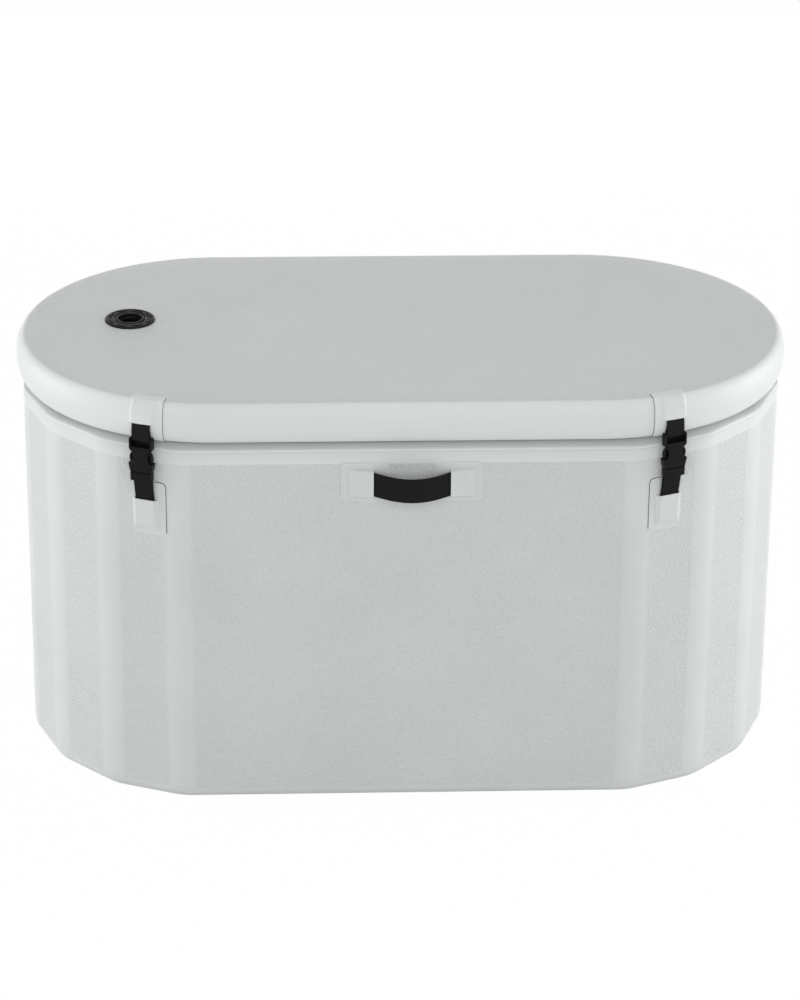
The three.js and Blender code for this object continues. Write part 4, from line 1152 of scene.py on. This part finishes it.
for side, facing in {"front": 0.0, "rear": math.pi}.items():
    at = PanelFrame(facing, handle_shift * math.cos(facing)).at
    for letter, hand in (("a", 1), ("b", -1)):
        left, right = sorted((hand * handle_patch_from, hand * handle_patch_to))
        outline_at = rounded_patch(left, handle_patch_low, right, handle_patch_high)
        points, faces = slab(at, outline_at, cloth_gap, patch_face, patch_edge, pressed_lines)
        base, node = f"{side}_handle_base_{letter}", f"{side}_handle_patch_{letter}"
        cloth_piece(base, points, faces, white_cloth, "tub", node, laid(handle_cut, "wall_skin"))
        points, faces = pocket(lying(at, hand), handle_pocket_half, handle_span / 2 + handle_pocket_length,
                               handle_span / 2, handle_width / 2, handle_pocket_rises)
        cloth_piece(f"{side}_handle_pocket_{letter}", points, faces, white_cloth, "tub", node,
                    laid(sheet_size(points), base), shell=sleeve_thickness)
    strap_piece(f"{side}_handle_strap", handle_path(at), upward, (handle_width, handle_thickness), "tub",
                f"{side}_handle_webbing")

# Studio
# A pale floor, a white surround, a wide soft light in front, one overhead and low ones behind and beside.
# The camera stands where the photograph was taken from: in front, a little to the left, and looking down.
white, floor_grey = (1.0, 1.0, 1.0, 1.0), (0.82, 0.82, 0.82, 1.0)
ambient_level = 0.30
floor_reach, floor_drop, white_share = 30.0, 0.0006, 0.98


def seen_directly(tree):
    """One for rays from the camera, a reflection or a transmission, and nought for other light."""
    signal = Signal(tree)
    kinds = ("Is Camera Ray", "Is Glossy Ray", "Is Transmission Ray")
    camera, glossy, transmission = (signal.node("ShaderNodeLightPath", {}, output=kind) for kind in kinds)
    return signal.maths("MAXIMUM", signal.maths("MAXIMUM", camera, glossy), transmission)


world = bpy.data.worlds.new("white surround")
bpy.context.scene.world = world
world.use_nodes = True
surround = seen_directly(world.node_tree).between((ambient_level,) * 3 + (1.0,), white)
world.node_tree.links.new(surround.socket, world.node_tree.nodes["Background"].inputs["Color"])

floor_mesh = bpy.data.meshes.new("studio floor")
floor_corners = rectangle(-floor_reach, -floor_reach, floor_reach, floor_reach)
floor_mesh.from_pydata([(*corner, -floor_drop) for corner in floor_corners], [], [(0, 1, 2, 3)])
floor = bpy.data.objects.new("studio_floor", floor_mesh)
bpy.context.scene.collection.objects.link(floor)
floor_finish = bpy.data.materials.new("pale floor")
floor_finish.use_nodes = True
floor_tree = floor_finish.node_tree
floor_seen = seen_directly(floor_tree)
matt = floor_seen.node("ShaderNodeBsdfDiffuse", {"Color": floor_grey}, output="BSDF")
pale = floor_seen.node("ShaderNodeBsdfDiffuse", {"Color": white}, output="BSDF")
glow = floor_seen.node("ShaderNodeEmission", {"Color": white, "Strength": 1.0}, output="Emission")
shown = floor_seen.node("ShaderNodeMixShader", {0: white_share, 1: pale, 2: glow}, output="Shader")
surface = floor_seen.node("ShaderNodeMixShader", {0: floor_seen, 1: matt, 2: shown}, output="Shader")
floor_tree.links.new(surface.socket, floor_tree.nodes["Material Output"].inputs["Surface"])
floor_mesh.materials.append(floor_finish)


def standing(right, up, back, place):
    """The matrix of a light or a camera that looks away from its back."""
    rows = np.concatenate([np.stack([right, up, back, place], -1), [[0, 0, 0, 1]]])
    return Matrix(rows.tolist())


light_aim, steep = np.array([0.0, 0.0, 0.5]), 0.9


def soft_light(name, place, size, watts):
    """A rectangular soft light at a place, turned towards the tub."""
    lamp = bpy.data.lights.new(name, "AREA")
    lamp.shape = "RECTANGLE"
    lamp.size, lamp.size_y = size
    lamp.energy = watts
    made = bpy.data.objects.new(name, lamp)
    away = np.array(place) - light_aim
    back = away / np.linalg.norm(away)
    right = np.cross(rearward if abs(back[2]) > steep else upward, back)
    right /= np.linalg.norm(right)
    made.matrix_world = standing(right, np.cross(back, right), back, place)
    bpy.context.scene.collection.objects.link(made)


soft_light("key", place=(0.0, -4.2, 2.3), size=(7.0, 3.2), watts=108.0)
soft_light("back", place=(0.0, 4.6, 0.8), size=(5.0, 1.6), watts=62.0)
soft_light("top", place=(0.0, 0.2, 4.2), size=(4.0, 3.0), watts=42.0)
soft_light("left strip", place=(-4.5, 0.4, 0.8), size=(2.4, 1.8), watts=92.0)
soft_light("right strip", place=(4.5, 0.4, 0.8), size=(2.4, 1.8), watts=104.0)

camera_focus, frame_height, film = 3854.4, 1000, 36.0
camera_distance, camera_azimuth, camera_elevation, camera_roll = 7.839, -0.0432, 0.4388, 0.0083
camera_aim = np.array([0.0004, 0.0, 0.4778])
ahead = -np.array([math.sin(camera_azimuth) * math.cos(camera_elevation),
                   -math.cos(camera_azimuth) * math.cos(camera_elevation), math.sin(camera_elevation)])
level = np.cross(ahead, upward)
level /= np.linalg.norm(level)
raised_up = np.cross(level, ahead)
rolled_right = math.cos(camera_roll) * level + math.sin(camera_roll) * raised_up
rolled_up = math.cos(camera_roll) * raised_up - math.sin(camera_roll) * level
camera_data = bpy.data.cameras.new("photograph's camera")
camera_data.sensor_width = film
camera_data.lens = camera_focus * film / frame_height
camera = bpy.data.objects.new("photograph_camera", camera_data)
camera.matrix_world = standing(rolled_right, rolled_up, -ahead, camera_aim - camera_distance * ahead)
bpy.context.scene.collection.objects.link(camera)
bpy.context.scene.camera = camera
bpy.context.scene.view_settings.view_transform = "Standard"
